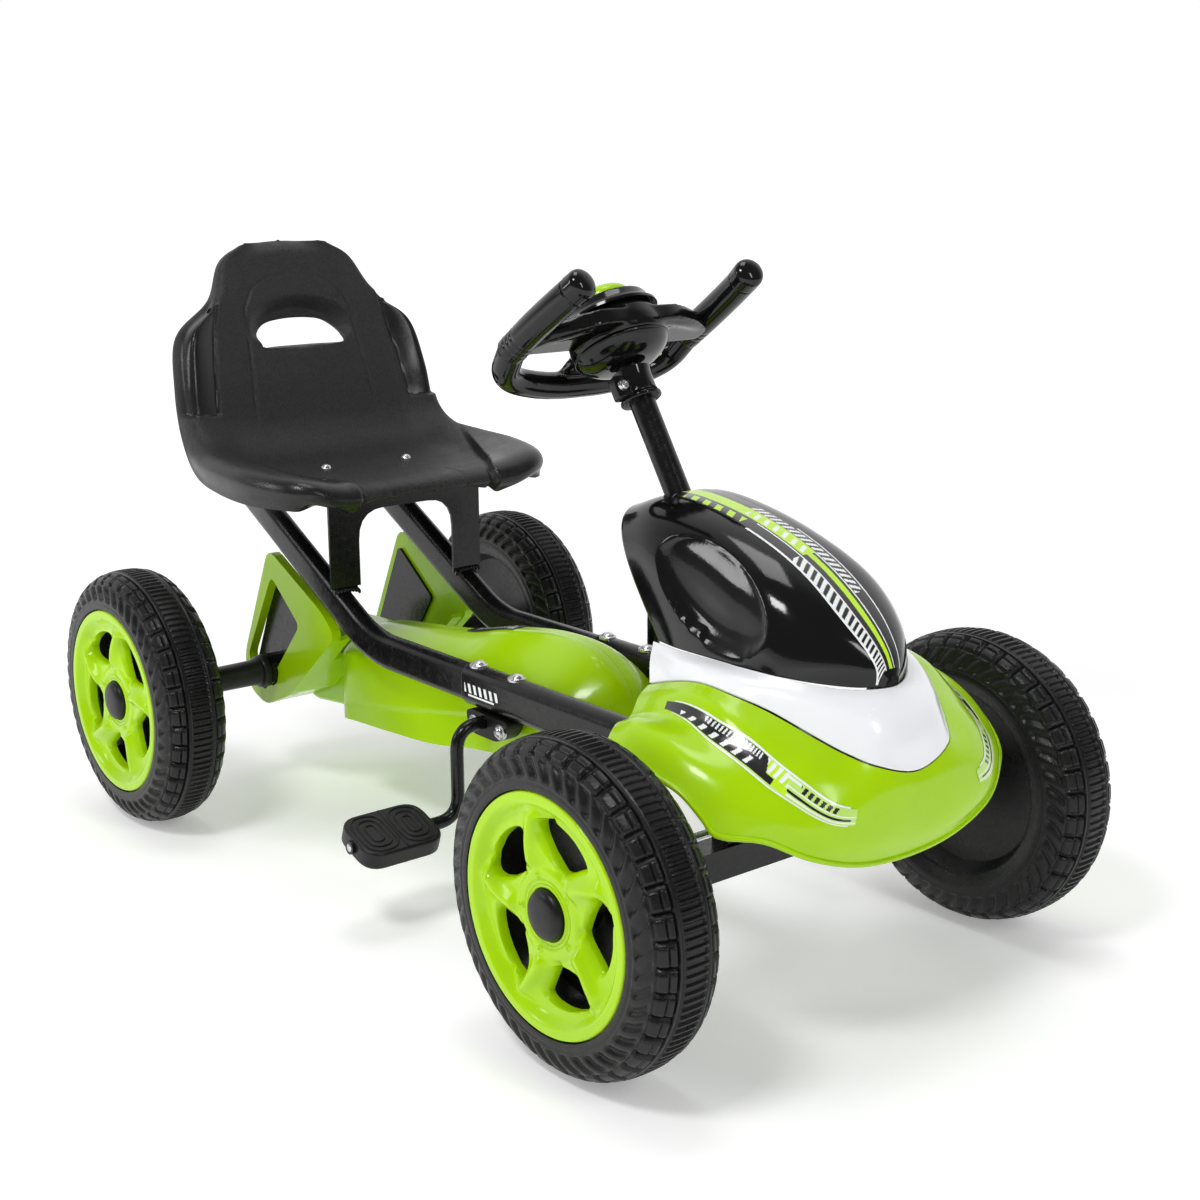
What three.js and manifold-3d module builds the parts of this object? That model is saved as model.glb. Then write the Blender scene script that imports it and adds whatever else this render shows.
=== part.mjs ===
// Child's pedal go kart: tube frame, bucket seat, chain drive to the rear axle, linked front steering.
// Millimetres. +X is forward, +Y is the driver's left, +Z is up, and the ground is z = 0.
import * as THREE from 'three';
import { mergeVertices } from 'three/addons/utils/BufferGeometryUtils.js';
import Module from 'manifold-3d';

const wasm = await Module();
wasm.setup();

// ---------------------------------------------------------------- driving dimensions
const WHEEL_BASE = 692;
const FRONT_TRACK = 443;
const REAR_TRACK = 459;
const TYRE_RADIUS = 128;
const TYRE_HALF_WIDTH = 34.4;
const RIM_RADIUS = 91.6;
const RIM_FACE = 35.8;
const HUB_CAP_RADIUS = 19.5;
const AXLE_RADIUS = 6;
const RUNNING_GAP = 0.35;
const PART_GAP = 0.3;

const RAIL_SPACING = 150;
const RAIL_RISE = 63;
const RAIL_HEIGHT = 35;
const RAIL_WIDTH = 20;
const RAIL_WALL = 1.5;
const SLEEVE_WALL = 1.6;
const SLEEVE_START = 8;
const SLEEVE_OVERLAP = 92;
const STAY_SLOPE = THREE.MathUtils.degToRad(27.7);
const STAY_BEND_RADIUS = 135;

const CRANK_X = 40;
const CRANK_DROP = 27.5;
const CRANK_THROW = 83;
const CRANK_ROD_RADIUS = 6;
const CHAIN_PITCH = 12.7;
const CHAINRING_TEETH = 22;
const SPROCKET_TEETH = 14;
const CHAIN_THICKNESS = 4;
const PLATE = 3;

const COLUMN_LEAN = THREE.MathUtils.degToRad(32.55);
const COLUMN_RADIUS = 11;
const COLUMN_WALL = 1.5;
const COLUMN_LENGTH = 396;
const WHEEL_HUB_BEHIND_AXLE = 216.8;
const WHEEL_HUB_RISE = 370.5;
const GRIP_RADIUS = 12.6;
const GRIP_SPACING = 192;
const HORN_RADIUS = 24.5;

const KINGPIN_SPACING = 300;
const STEERING_ARM = 42;
const BEAM_SIZE = 25;
const BEAM_WALL = 2;

const KINGPIN_RADIUS = 4;
const KINGPIN_TUBE_RADIUS = 12;
const KINGPIN_TUBE_HALF = 30;
const KNUCKLE_ARM_LEVEL = -6;
const TIE_ROD_LEVEL = 3;
const TIE_ROD_SPLIT = 9;
const BEARING_RADIUS = 17;
const SPACER_RADIUS = 14;
const BOLT_RADIUS = 3;
const BOLT_HEAD_RADIUS = 6.5;
const PEDAL_TILT = THREE.MathUtils.degToRad(20);

const SEAT_WALL = 5;
const COVER_WALL = 3;
const FAIRING_WALL = 3;
const COVER_TO_RAIL = 5;
const FIN_PAST_RAIL = 1;
const COVER_HALF_WIDTH = RAIL_SPACING / 2 - RAIL_WIDTH / 2 - COVER_TO_RAIL;
const FIN_OUTER = RAIL_SPACING / 2 + RAIL_WIDTH / 2 + FIN_PAST_RAIL;
const FIN_THICKNESS = 10;

const FRONT_AXLE_X = WHEEL_BASE / 2;
const REAR_AXLE_X = -WHEEL_BASE / 2;

// ---------------------------------------------------------------- materials
const paint = (name, color, roughness, metalness) =>
  new THREE.MeshStandardMaterial({ name, color, roughness, metalness });
const lime = paint('lime_plastic', 0x9fd400, 0.3, 0);
const white = paint('white_plastic', 0xf0f1f4, 0.35, 0);
const gloss = paint('gloss_black_plastic', 0x0b0b0c, 0.18, 0);
const satin = paint('satin_black_plastic', 0x1c1c1d, 0.55, 0);
const blackPaint = paint('black_painted_steel', 0x101011, 0.35, 0.4);
const tyreBlack = paint('tyre_plastic', 0x1a1a1a, 0.6, 0);
const zinc = paint('zinc_steel', 0xc9ccd0, 0.25, 1);

// ---------------------------------------------------------------- solids
// The geometry with positions only, shared vertices merged and slivers of the merge dropped.
function mergeBare(geometry) {
  const bare = geometry.clone();
  bare.deleteAttribute('normal');
  bare.deleteAttribute('uv');
  const merged = mergeVertices(bare, 1e-4);
  const kept = [];
  for (let i = 0; i < merged.index.count; i += 3) {
    const [a, b, c] = [merged.index.getX(i), merged.index.getX(i + 1), merged.index.getX(i + 2)];
    if (a !== b && b !== c && a !== c) kept.push(a, b, c);
  }
  merged.setIndex(kept);
  return merged;
}

function toManifold(geometry) {
  const merged = mergeBare(geometry);
  const mesh = new wasm.Mesh({
    numProp: 3,
    vertProperties: new Float32Array(merged.attributes.position.array),
    triVerts: new Uint32Array(merged.index.array),
  });
  return new wasm.Manifold(mesh);
}

function toGeometry(manifold) {
  const mesh = manifold.getMesh();
  const geometry = new THREE.BufferGeometry();
  geometry.setAttribute('position', new THREE.BufferAttribute(mesh.vertProperties, 3));
  geometry.setIndex(new THREE.BufferAttribute(mesh.triVerts, 1));
  return geometry;
}

function join(...geometries) {
  return toGeometry(geometries.map(toManifold).reduce((whole, piece) => whole.add(piece)));
}

function cut(geometry, ...tools) {
  return toGeometry(tools.map(toManifold).reduce((whole, tool) => whole.subtract(tool), toManifold(geometry)));
}

function mirrorY(geometry) {
  const mirrored = geometry.clone().scale(1, -1, 1);
  const index = mirrored.index ? [...mirrored.index.array] : [...mirrored.attributes.position.array.keys()];
  const count = mirrored.index ? index.length : mirrored.attributes.position.count;
  const flipped = [];
  for (let i = 0; i < count; i += 3) flipped.push(index[i], index[i + 2], index[i + 1]);
  mirrored.setIndex(flipped);
  return mirrored;
}

// A closed surface through loops of points, one loop per station, with a fan over each end.
function loft(loops) {
  const size = loops[0].length;
  const points = loops.flat();
  const index = [];
  for (let k = 0; k + 1 < loops.length; k++) {
    for (let i = 0; i < size; i++) {
      const a = k * size + i;
      const b = k * size + ((i + 1) % size);
      index.push(a, b, b + size, a, b + size, a + size);
    }
  }
  for (const [k, forward] of [[0, false], [loops.length - 1, true]]) {
    const centre = loops[k].reduce((sum, p) => sum.add(p), new THREE.Vector3()).divideScalar(size);
    const hub = points.push(centre) - 1;
    for (let i = 0; i < size; i++) {
      const a = k * size + i;
      const b = k * size + ((i + 1) % size);
      index.push(...(forward ? [a, b, hub] : [b, a, hub]));
    }
  }
  const geometry = new THREE.BufferGeometry().setFromPoints(points);
  geometry.setIndex(index);
  return outward(geometry);
}

function signedVolume(geometry) {
  const at = (i) => new THREE.Vector3().fromBufferAttribute(geometry.attributes.position, geometry.index.getX(i));
  let sum = 0;
  for (let i = 0; i < geometry.index.count; i += 3) sum += at(i).dot(at(i + 1).cross(at(i + 2)));
  return sum / 6;
}

function outward(geometry) {
  if (signedVolume(geometry) > 0) return geometry;
  const old = [...geometry.index.array];
  const flipped = [];
  for (let i = 0; i < old.length; i += 3) flipped.push(old[i], old[i + 2], old[i + 1]);
  geometry.setIndex(flipped);
  return geometry;
}

// A sheet with a thickness: rows of surface points, each moved inwards by its own normal.
function shell(rows, thickness) {
  const count = rows.length;
  const width = rows[0].length;
  const at = (i, j) => rows[THREE.MathUtils.clamp(i, 0, count - 1)][THREE.MathUtils.clamp(j, 0, width - 1)];
  const points = rows.flat();
  const inner = [];
  for (let i = 0; i < count; i++) {
    for (let j = 0; j < width; j++) {
      const along = new THREE.Vector3().subVectors(at(i + 1, j), at(i - 1, j));
      const across = new THREE.Vector3().subVectors(at(i, j + 1), at(i, j - 1));
      inner.push(along.cross(across).normalize().multiplyScalar(thickness).add(at(i, j)));
    }
  }
  const total = points.length;
  const index = [];
  const quad = (a, b, c, d) => index.push(a, b, c, a, c, d);
  for (let i = 0; i + 1 < count; i++) {
    for (let j = 0; j + 1 < width; j++) {
      const a = i * width + j;
      quad(a, a + 1, a + width + 1, a + width);
      quad(total + a + width, total + a + width + 1, total + a + 1, total + a);
    }
  }
  for (let i = 0; i + 1 < count; i++) {
    const first = i * width;
    const last = first + width - 1;
    quad(first, first + width, total + first + width, total + first);
    quad(last + width, last, total + last, total + last + width);
  }
  for (let j = 0; j + 1 < width; j++) {
    const top = (count - 1) * width + j;
    quad(j + 1, j, total + j, total + j + 1);
    quad(top, top + 1, total + top + 1, total + top);
  }
  const geometry = new THREE.BufferGeometry().setFromPoints([...points, ...inner]);
  geometry.setIndex(index);
  return outward(geometry);
}

// A polygon whose corners are rounded by one radius.
function rounded(corners, radius, Kind = THREE.Shape) {
  const shape = new Kind();
  corners.forEach((corner, i) => {
    const here = new THREE.Vector2(...corner);
    const before = new THREE.Vector2(...corners[(i + corners.length - 1) % corners.length]).sub(here);
    const after = new THREE.Vector2(...corners[(i + 1) % corners.length]).sub(here);
    const reach = Math.min(radius, before.length() / 2.2, after.length() / 2.2);
    const start = before.setLength(reach).add(here);
    const end = after.setLength(reach).add(here);
    if (i === 0) shape.moveTo(start.x, start.y);
    else shape.lineTo(start.x, start.y);
    shape.quadraticCurveTo(here.x, here.y, end.x, end.y);
  });
  shape.closePath();
  return shape;
}

function ring(outer, inner, x = 0, y = 0) {
  const shape = new THREE.Shape().absarc(x, y, outer, 0, 2 * Math.PI);
  if (inner) shape.holes.push(new THREE.Path().absarc(x, y, inner, 0, 2 * Math.PI));
  return shape;
}

const prism = (shape, depth, curveSegments = 8) =>
  new THREE.ExtrudeGeometry(shape, { depth, bevelEnabled: false, curveSegments });

// A shape drawn in (x, z) and given a thickness from y = from to y = to.
function slabY(shape, from, to, curveSegments = 8) {
  const geometry = prism(shape, Math.abs(to - from), curveSegments);
  return geometry.rotateX(Math.PI / 2).translate(0, Math.max(from, to), 0);
}

const box = (x0, x1, y0, y1, z0, z1) =>
  new THREE.BoxGeometry(x1 - x0, y1 - y0, z1 - z0).translate((x0 + x1) / 2, (y0 + y1) / 2, (z0 + z1) / 2);

// A round bar or, with an inner radius, a tube, along Z from z0 to z1.
const barZ = (outer, z0, z1, inner = 0, segments = 8) => prism(ring(outer, inner), z1 - z0, segments).translate(0, 0, z0);
const barY = (outer, y0, y1, inner = 0, segments = 8) => barZ(outer, y0, y1, inner, segments).rotateX(-Math.PI / 2);

function stadium(height, width, grow = 0) {
  const r = width / 2 + grow;
  const straight = (height - width) / 2;
  const shape = new THREE.Shape();
  shape.absarc(0, straight, r, 0, Math.PI);
  shape.absarc(0, -straight, r, Math.PI, 2 * Math.PI);
  shape.closePath();
  return shape;
}

// A section swept along a flat path. Its x runs along the path plane's normal.
function sweep(outline, path, normal, curveSegments = 5) {
  const section = openOutline(outline.getPoints(curveSegments));
  return loft(path.map((point, k) => {
    const before = path[Math.max(k - 1, 0)];
    const after = path[Math.min(k + 1, path.length - 1)];
    const tangent = new THREE.Vector3().subVectors(after, before).normalize();
    const lateral = new THREE.Vector3().crossVectors(tangent, normal).normalize();
    const upright = new THREE.Vector3().crossVectors(lateral, tangent);
    return section.map((p) => point.clone().addScaledVector(upright, p.x).addScaledVector(lateral, p.y));
  }));
}

function openOutline(points) {
  const last = points[points.length - 1];
  return last.distanceTo(points[0]) < 1e-6 ? points.slice(0, -1) : points;
}

// The same path with its inner corners rounded.
function bend(points, radius, steps) {
  const path = [points[0]];
  for (let k = 1; k + 1 < points.length; k++) {
    const here = points[k];
    const start = points[k - 1].clone().sub(here);
    const end = points[k + 1].clone().sub(here);
    start.setLength(Math.min(radius, start.length() / 2.1)).add(here);
    end.setLength(Math.min(radius, end.length() / 2.1)).add(here);
    path.push(...new THREE.QuadraticBezierCurve3(start, here, end).getPoints(steps));
  }
  path.push(points[points.length - 1]);
  return path;
}

// A shape drawn in (y, z), given a length from x0 to x1.
function alongX(shape, x0, x1, curveSegments = 6) {
  const axes = [new THREE.Vector3(0, 1, 0), new THREE.Vector3(0, 0, 1), new THREE.Vector3(1, 0, 0)];
  const turn = new THREE.Matrix4().makeBasis(...axes);
  return prism(shape, x1 - x0, curveSegments).applyMatrix4(turn).translate(x0, 0, 0);
}

const meshes = {};
function part(name, geometry, material) {
  const mesh = new THREE.Mesh(geometry, material);
  mesh.name = name;
  meshes[name] = mesh;
  return mesh;
}

function group(x, z, ...children) {
  const holder = new THREE.Group();
  holder.position.set(x, 0, z);
  if (children.length) holder.add(...children);
  return holder;
}

// A mirrored pair: the right piece is drawn at negative y, and the left piece is its mirror image.
function pair(name, rightGeometry, material) {
  return [part(`${name}_right`, rightGeometry, material), part(`${name}_left`, mirrorY(rightGeometry), material)];
}

// ---------------------------------------------------------------- road wheels
const HUB_BARREL_RADIUS = 17;
const HUB_INNER_FACE = -33;
const WEB_INNER_FACE = -14;
const WEB_OUTER_FACE = -9;
const TREAD_CORNER = 2.7;

// The moulded tyre and its inboard web turn about +Y, and +a is outboard.
function tyreGeometry() {
  const crown = [];
  const sectionFoot = RIM_RADIUS + 2;
  for (let step = 0; step <= 8; step++) {
    const angle = (Math.PI * step) / 8;
    const lateral = Math.sign(Math.cos(angle)) * Math.abs(Math.cos(angle)) ** (2 / TREAD_CORNER);
    const radial = Math.sin(angle) ** (2 / TREAD_CORNER);
    crown.push([sectionFoot + (TYRE_RADIUS - sectionFoot) * radial, TYRE_HALF_WIDTH * lateral]);
  }
  const boreRadius = AXLE_RADIUS + RUNNING_GAP;
  const inside = [
    [RIM_RADIUS - 10, -TYRE_HALF_WIDTH + 4],
    [RIM_RADIUS - 16, WEB_INNER_FACE],
    [HUB_BARREL_RADIUS + 3, WEB_INNER_FACE],
    [HUB_BARREL_RADIUS, HUB_INNER_FACE],
    [boreRadius, HUB_INNER_FACE],
    [boreRadius, 2],
    [HUB_BARREL_RADIUS, 2],
    [HUB_BARREL_RADIUS + 2, WEB_OUTER_FACE],
    [RIM_RADIUS - 14, WEB_OUTER_FACE],
    [RIM_RADIUS + PART_GAP, 6],
  ];
  return latheY([...crown, ...inside], 32);
}

// A closed profile of [radius, y] pairs turned about the Y axis.
function latheY(profile, segments) {
  const points = profile.map(([r, a]) => new THREE.Vector2(r, a));
  points.push(points[0].clone());
  return outward(mergeBare(new THREE.LatheGeometry(points, segments)));
}

const SPOKES = 5;
const RIM_DISC_INNER = 20;
const RIM_DISC_OUTER = 28;
const SPOKE_INNER_RADIUS = 34;
const SPOKE_OUTER_RADIUS = 77;
const SPOKE_SWEEP = THREE.MathUtils.degToRad(26);

// One swept opening between two spokes.
function rimOpening(turn) {
  const polar = (radius, angle) => [radius * Math.cos(angle + turn), radius * Math.sin(angle + turn)];
  const span = Math.PI / SPOKES;
  const middle = (SPOKE_INNER_RADIUS + SPOKE_OUTER_RADIUS) / 2;
  return rounded([
    polar(SPOKE_INNER_RADIUS, 0),
    polar(middle, -span * 0.42 + SPOKE_SWEEP / 2),
    polar(SPOKE_OUTER_RADIUS, -span * 0.5 + SPOKE_SWEEP),
    polar(SPOKE_OUTER_RADIUS, span * 0.55 + SPOKE_SWEEP),
    polar(middle, span * 0.62 + SPOKE_SWEEP / 2),
  ], 14);
}

function rimGeometry() {
  const bandInner = RIM_RADIUS - 9;
  const band = latheY([
    [RIM_RADIUS, 8],
    [RIM_RADIUS, RIM_FACE - 3],
    [RIM_RADIUS - 4, RIM_FACE],
    [bandInner, RIM_FACE - 6],
    [bandInner, 8],
  ], 32);
  const disc = barY(bandInner + 3, RIM_DISC_INNER, RIM_DISC_OUTER, HUB_CAP_RADIUS - 6, 16);
  const openings = [...Array(SPOKES).keys()].map((k) =>
    slabY(rimOpening((2 * Math.PI * k) / SPOKES), RIM_DISC_INNER - 1, RIM_DISC_OUTER + 1, 3));
  return cut(join(band, disc), ...openings);
}

function hubCapGeometry() {
  const back = RIM_DISC_OUTER + PART_GAP;
  const dome = [...Array(5).keys()].map((k) => {
    const angle = (Math.PI / 2) * (k / 4);
    return [HUB_CAP_RADIUS * Math.cos(angle), back + 3 + 6 * Math.sin(angle)];
  });
  dome[4][0] = 0;
  const profile = [[0, back], [HUB_CAP_RADIUS, back], ...dome];
  return outward(mergeBare(new THREE.LatheGeometry(profile.map(([r, a]) => new THREE.Vector2(r, a)), 20)));
}

// A wheel's three pieces. side is -1 on the right and +1 on the left, and its outboard face points that way.
function wheel(name, side, track) {
  const turn = side > 0 ? 0 : Math.PI;
  const holder = new THREE.Group();
  holder.position.y = (side * track) / 2;
  holder.rotation.z = turn;
  holder.add(
    part(`${name}_tyre`, tyreGeometry(), tyreBlack),
    part(`${name}_rim`, rimGeometry(), lime),
    part(`${name}_hub_cap`, hubCapGeometry(), satin),
  );
  return holder;
}

// ---------------------------------------------------------------- frame
const railY = RAIL_SPACING / 2;
const sleeveGrow = PART_GAP + SLEEVE_WALL;
const sleeveHalfHeight = RAIL_HEIGHT / 2 + sleeveGrow;
const sleeveHalfWidth = RAIL_WIDTH / 2 + sleeveGrow;
const sleeveEnd = FRONT_AXLE_X - 8;
const bendX = REAR_AXLE_X + 192;
const stayEndX = REAR_AXLE_X - 39;
const railBolts = [SLEEVE_START + 12, SLEEVE_START + 69];

const stayCentre = (x) => RAIL_RISE + (bendX - x) * Math.tan(STAY_SLOPE);
const stayHalfDepth = RAIL_HEIGHT / 2 / Math.cos(STAY_SLOPE);

function railPath(extra = 0) {
  const run = STAY_BEND_RADIUS * Math.tan(STAY_SLOPE / 2);
  const points = [new THREE.Vector3(SLEEVE_START + SLEEVE_OVERLAP + extra, 0, RAIL_RISE)];
  for (let step = 0; step <= 4; step++) {
    const angle = (STAY_SLOPE * step) / 4;
    const x = bendX + run - STAY_BEND_RADIUS * Math.sin(angle);
    points.push(new THREE.Vector3(x, 0, RAIL_RISE + STAY_BEND_RADIUS * (1 - Math.cos(angle))));
  }
  points.push(new THREE.Vector3(stayEndX - extra, 0, stayCentre(stayEndX - extra)));
  return points;
}

const boltHoles = (y) => railBolts.map((x) => barZ(BOLT_RADIUS + RUNNING_GAP, -100, 200, 0, 4).translate(x, y, 0));

function railGeometry(y) {
  const outer = sweep(stadium(RAIL_HEIGHT, RAIL_WIDTH), railPath(), new THREE.Vector3(0, 1, 0), 4);
  const inner = sweep(stadium(RAIL_HEIGHT, RAIL_WIDTH, -RAIL_WALL), railPath(3), new THREE.Vector3(0, 1, 0), 4);
  return cut(cut(outer, inner).translate(0, y, 0), ...boltHoles(y));
}

function sleeveGeometry(y) {
  const shape = stadium(RAIL_HEIGHT, RAIL_WIDTH, sleeveGrow);
  shape.holes.push(stadium(RAIL_HEIGHT, RAIL_WIDTH, PART_GAP));
  return cut(alongX(shape, SLEEVE_START, sleeveEnd).translate(0, y, RAIL_RISE), ...boltHoles(y));
}

// A domed bolt through sleeve and rail.
function railBoltGeometry() {
  const seat = RAIL_RISE + sleeveHalfHeight + 0.1;
  const profile = [
    [0, RAIL_RISE - sleeveHalfHeight + 0.3],
    [BOLT_RADIUS, RAIL_RISE - sleeveHalfHeight + 0.3],
    [BOLT_RADIUS, seat],
    [BOLT_HEAD_RADIUS, seat],
    [BOLT_HEAD_RADIUS * 0.8, seat + 2.6],
    [0, seat + 4],
  ];
  const turned = new THREE.LatheGeometry(profile.map(([r, z]) => new THREE.Vector2(r, z)), 12);
  return outward(mergeBare(turned)).rotateX(Math.PI / 2);
}

const seatBracketX = REAR_AXLE_X + 140;
const SEAT_BRACKET_OUTER = railY + 14.5;
const SEAT_BRACKET_INNER = railY - 19;
const SEAT_BRACKET_TOP = 213;

// An inverted U across both rails, with a flange under the seat pan.
function seatBracketGeometry() {
  const foot = stayCentre(seatBracketX - PLATE) + stayHalfDepth + 0.6;
  const arch = SEAT_BRACKET_TOP - 26;
  const outline = new THREE.Shape([
    new THREE.Vector2(-SEAT_BRACKET_OUTER, foot),
    new THREE.Vector2(-SEAT_BRACKET_OUTER, SEAT_BRACKET_TOP),
    new THREE.Vector2(SEAT_BRACKET_OUTER, SEAT_BRACKET_TOP),
    new THREE.Vector2(SEAT_BRACKET_OUTER, foot),
    new THREE.Vector2(SEAT_BRACKET_INNER, foot),
  ]);
  outline.lineTo(SEAT_BRACKET_INNER, arch - 30);
  outline.quadraticCurveTo(SEAT_BRACKET_INNER, arch, SEAT_BRACKET_INNER - 30, arch);
  outline.lineTo(30 - SEAT_BRACKET_INNER, arch);
  outline.quadraticCurveTo(-SEAT_BRACKET_INNER, arch, -SEAT_BRACKET_INNER, arch - 30);
  outline.lineTo(-SEAT_BRACKET_INNER, foot);
  const plate = alongX(outline, seatBracketX - PLATE, seatBracketX, 5);
  const flange = box(seatBracketX - 96, seatBracketX, -70, 70, SEAT_BRACKET_TOP - PLATE, SEAT_BRACKET_TOP);
  return join(plate, flange);
}

// A strap across the tops of both stays, with two posts up to the seat shell.
function rearSeatStrapGeometry() {
  const back = stayEndX + 4;
  const bottom = stayCentre(back) + stayHalfDepth + 0.6;
  const strap = box(back, back + 22, -railY - 13, railY + 13, bottom, bottom + PLATE);
  const posts = [-48, 48].map((y) => box(back + 12, back + 22, y - 10, y + 10, bottom + 1, bottom + 24));
  return join(strap, ...posts);
}

// The beam, its two posts under the rails and the kingpin tubes, with a drain hole.
function frontBeamGeometry() {
  const half = BEAM_SIZE / 2;
  const reach = KINGPIN_SPACING / 2;
  const postTop = RAIL_RISE - sleeveHalfHeight - PART_GAP;
  const square = new THREE.Shape([
    new THREE.Vector2(-half, -half),
    new THREE.Vector2(half, -half),
    new THREE.Vector2(half, half),
    new THREE.Vector2(-half, half),
  ]);
  const beam = slabY(square, -reach, reach);
  const pieces = [beam];
  for (const side of [-1, 1]) {
    pieces.push(box(-9, 9, side * railY - 8, side * railY + 8, half - 1, postTop));
    pieces.push(barZ(KINGPIN_TUBE_RADIUS, -KINGPIN_TUBE_HALF, KINGPIN_TUBE_HALF).translate(0, side * reach, 0));
  }
  const hollow = box(-half + BEAM_WALL, half - BEAM_WALL, -reach + 14, reach - 14, -half + BEAM_WALL, half - BEAM_WALL);
  const bores = [-reach, reach].map((y) => barZ(KINGPIN_RADIUS + RUNNING_GAP, -60, 60).translate(0, y, 0));
  return cut(join(...pieces), hollow, barZ(4, -40, 0), ...bores);
}

const hubX = FRONT_AXLE_X - WHEEL_HUB_BEHIND_AXLE;
const columnDown = new THREE.Vector3(Math.sin(COLUMN_LEAN), 0, -Math.cos(COLUMN_LEAN));
const onColumn = (distance) => columnDown.clone().multiplyScalar(distance).add(new THREE.Vector3(hubX, 0, WHEEL_HUB_RISE));
const alongColumn = (geometry, distance) => {
  const place = onColumn(distance);
  return geometry.rotateY(-COLUMN_LEAN).translate(place.x, place.y, place.z);
};

// A bar between the rails with a bearing tube round the steering column.
function columnBearingGeometry() {
  const distance = (WHEEL_HUB_RISE - RAIL_RISE) / Math.cos(COLUMN_LEAN);
  const centre = onColumn(distance);
  const reach = railY - sleeveHalfWidth - PART_GAP;
  const bar = box(centre.x - 10, centre.x + 10, -reach, reach, RAIL_RISE - 10, RAIL_RISE + 10);
  const tube = alongColumn(barZ(COLUMN_RADIUS + 5, -24, 24), distance);
  const bore = alongColumn(barZ(COLUMN_RADIUS + RUNNING_GAP, -50, 50), distance);
  return cut(join(bar, tube), bore);
}

// ---------------------------------------------------------------- rear axle, crank and chain
const crankRise = RAIL_RISE - CRANK_DROP;
const pitchRadius = (teeth) => CHAIN_PITCH / 2 / Math.sin(Math.PI / teeth);
const rearHubFace = REAR_TRACK / 2 + HUB_INNER_FACE;

function toothed(teeth, bore) {
  const radius = pitchRadius(teeth);
  const shape = new THREE.Shape();
  for (let tooth = 0; tooth < teeth; tooth++) {
    for (const [offset, reach] of [[0.1, -3], [0.35, 2], [0.65, 2], [0.9, -3]]) {
      const angle = (2 * Math.PI * (tooth + offset)) / teeth;
      const x = (radius + reach) * Math.cos(angle);
      const y = (radius + reach) * Math.sin(angle);
      if (tooth === 0 && offset === 0.1) shape.moveTo(x, y);
      else shape.lineTo(x, y);
    }
  }
  shape.closePath();
  shape.holes.push(new THREE.Path().absarc(0, 0, bore, 0, 2 * Math.PI));
  return slabY(shape, -1.5, 1.5, 6);
}

// The outline of a belt round two circles: radius a at x = 0 and radius b at (x, z).
function beltOutline(a, b, x, z, Kind = THREE.Shape) {
  const span = Math.hypot(x, z);
  const heading = Math.atan2(z, x);
  const lean = Math.acos((a - b) / span);
  const shape = new Kind();
  shape.absarc(0, 0, a, heading + lean, heading - lean + 2 * Math.PI);
  shape.absarc(x, z, b, heading - lean, heading + lean);
  shape.closePath();
  return shape;
}

function chainGeometry() {
  const ringRadius = pitchRadius(CHAINRING_TEETH) + 2.5;
  const sprocketRadius = pitchRadius(SPROCKET_TEETH) + 2.5;
  const x = REAR_AXLE_X - CRANK_X;
  const outline = beltOutline(ringRadius + CHAIN_THICKNESS, sprocketRadius + CHAIN_THICKNESS, x, -crankRise);
  outline.holes.push(beltOutline(ringRadius, sprocketRadius, x, -crankRise, THREE.Path));
  return slabY(outline, -3, 3, 12).translate(CRANK_X, 0, crankRise);
}

const CRANK_ARM_Y = 115;
const PEDAL_INNER = 146;
const PEDAL_WIDTH = 80;

// One bent rod: pedal spindle, arm, shaft, opposite arm and the other spindle.
function crankRodGeometry() {
  const half = [
    new THREE.Vector3(0, CRANK_ARM_Y, 0),
    new THREE.Vector3(0, CRANK_ARM_Y, CRANK_THROW),
    new THREE.Vector3(0, PEDAL_INNER + PEDAL_WIDTH + 3, CRANK_THROW),
  ];
  const other = half.map((p) => new THREE.Vector3(0, -p.y, -p.z)).reverse();
  const circle = ring(CRANK_ROD_RADIUS);
  return sweep(circle, bend([...other, ...half], 20, 4), new THREE.Vector3(1, 0, 0), 3);
}

function crankBracketGeometry() {
  const top = RAIL_RISE - sleeveHalfHeight - PART_GAP;
  const bottom = crankRise - CRANK_ROD_RADIUS - 8;
  const outline = rounded([
    [CRANK_X - 28, top],
    [CRANK_X - 20, bottom],
    [CRANK_X + 26, bottom],
    [CRANK_X + 40, top],
  ], 12);
  const block = slabY(outline, -railY - sleeveHalfWidth + 1, -railY + 7);
  return cut(block, barY(CRANK_ROD_RADIUS + RUNNING_GAP, -120, 0, 0, 8).translate(CRANK_X, 0, crankRise));
}

function pedalGeometry() {
  const outline = rounded([[-28, 0], [-28, PEDAL_WIDTH], [28, PEDAL_WIDTH], [28, 0]], 16);
  const pad = prism(outline, 19, 4).translate(0, 0, -9.5);
  return cut(pad, barY(CRANK_ROD_RADIUS + RUNNING_GAP, -5, PEDAL_WIDTH + 5, 0, 8));
}

// ---------------------------------------------------------------- chain cover and rear fins
const LOBE_RADIUS = 45;
const LOBE_HALF_WIDTH = 30;
const coverRear = REAR_AXLE_X + 94;

// Sections along the cover: x, top, shoulder, bottom and half-width.
const coverSections = [
  [coverRear, 58, 42, -35, 1],
  [CRANK_X - 123, 81, 56, -22, 1],
  [CRANK_X - 70, 94, 62, -12, 1],
  [CRANK_X + 3, 104, 66, -1, 1],
  [CRANK_X + 60, 101, 66, 7, 0.97],
  [CRANK_X + 85, 89, 62, 11, 0.77],
  [CRANK_X + 100, 76, 56, 14, 0.5],
  [CRANK_X + 109, 60, 50, 16, 0.2],
];

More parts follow.
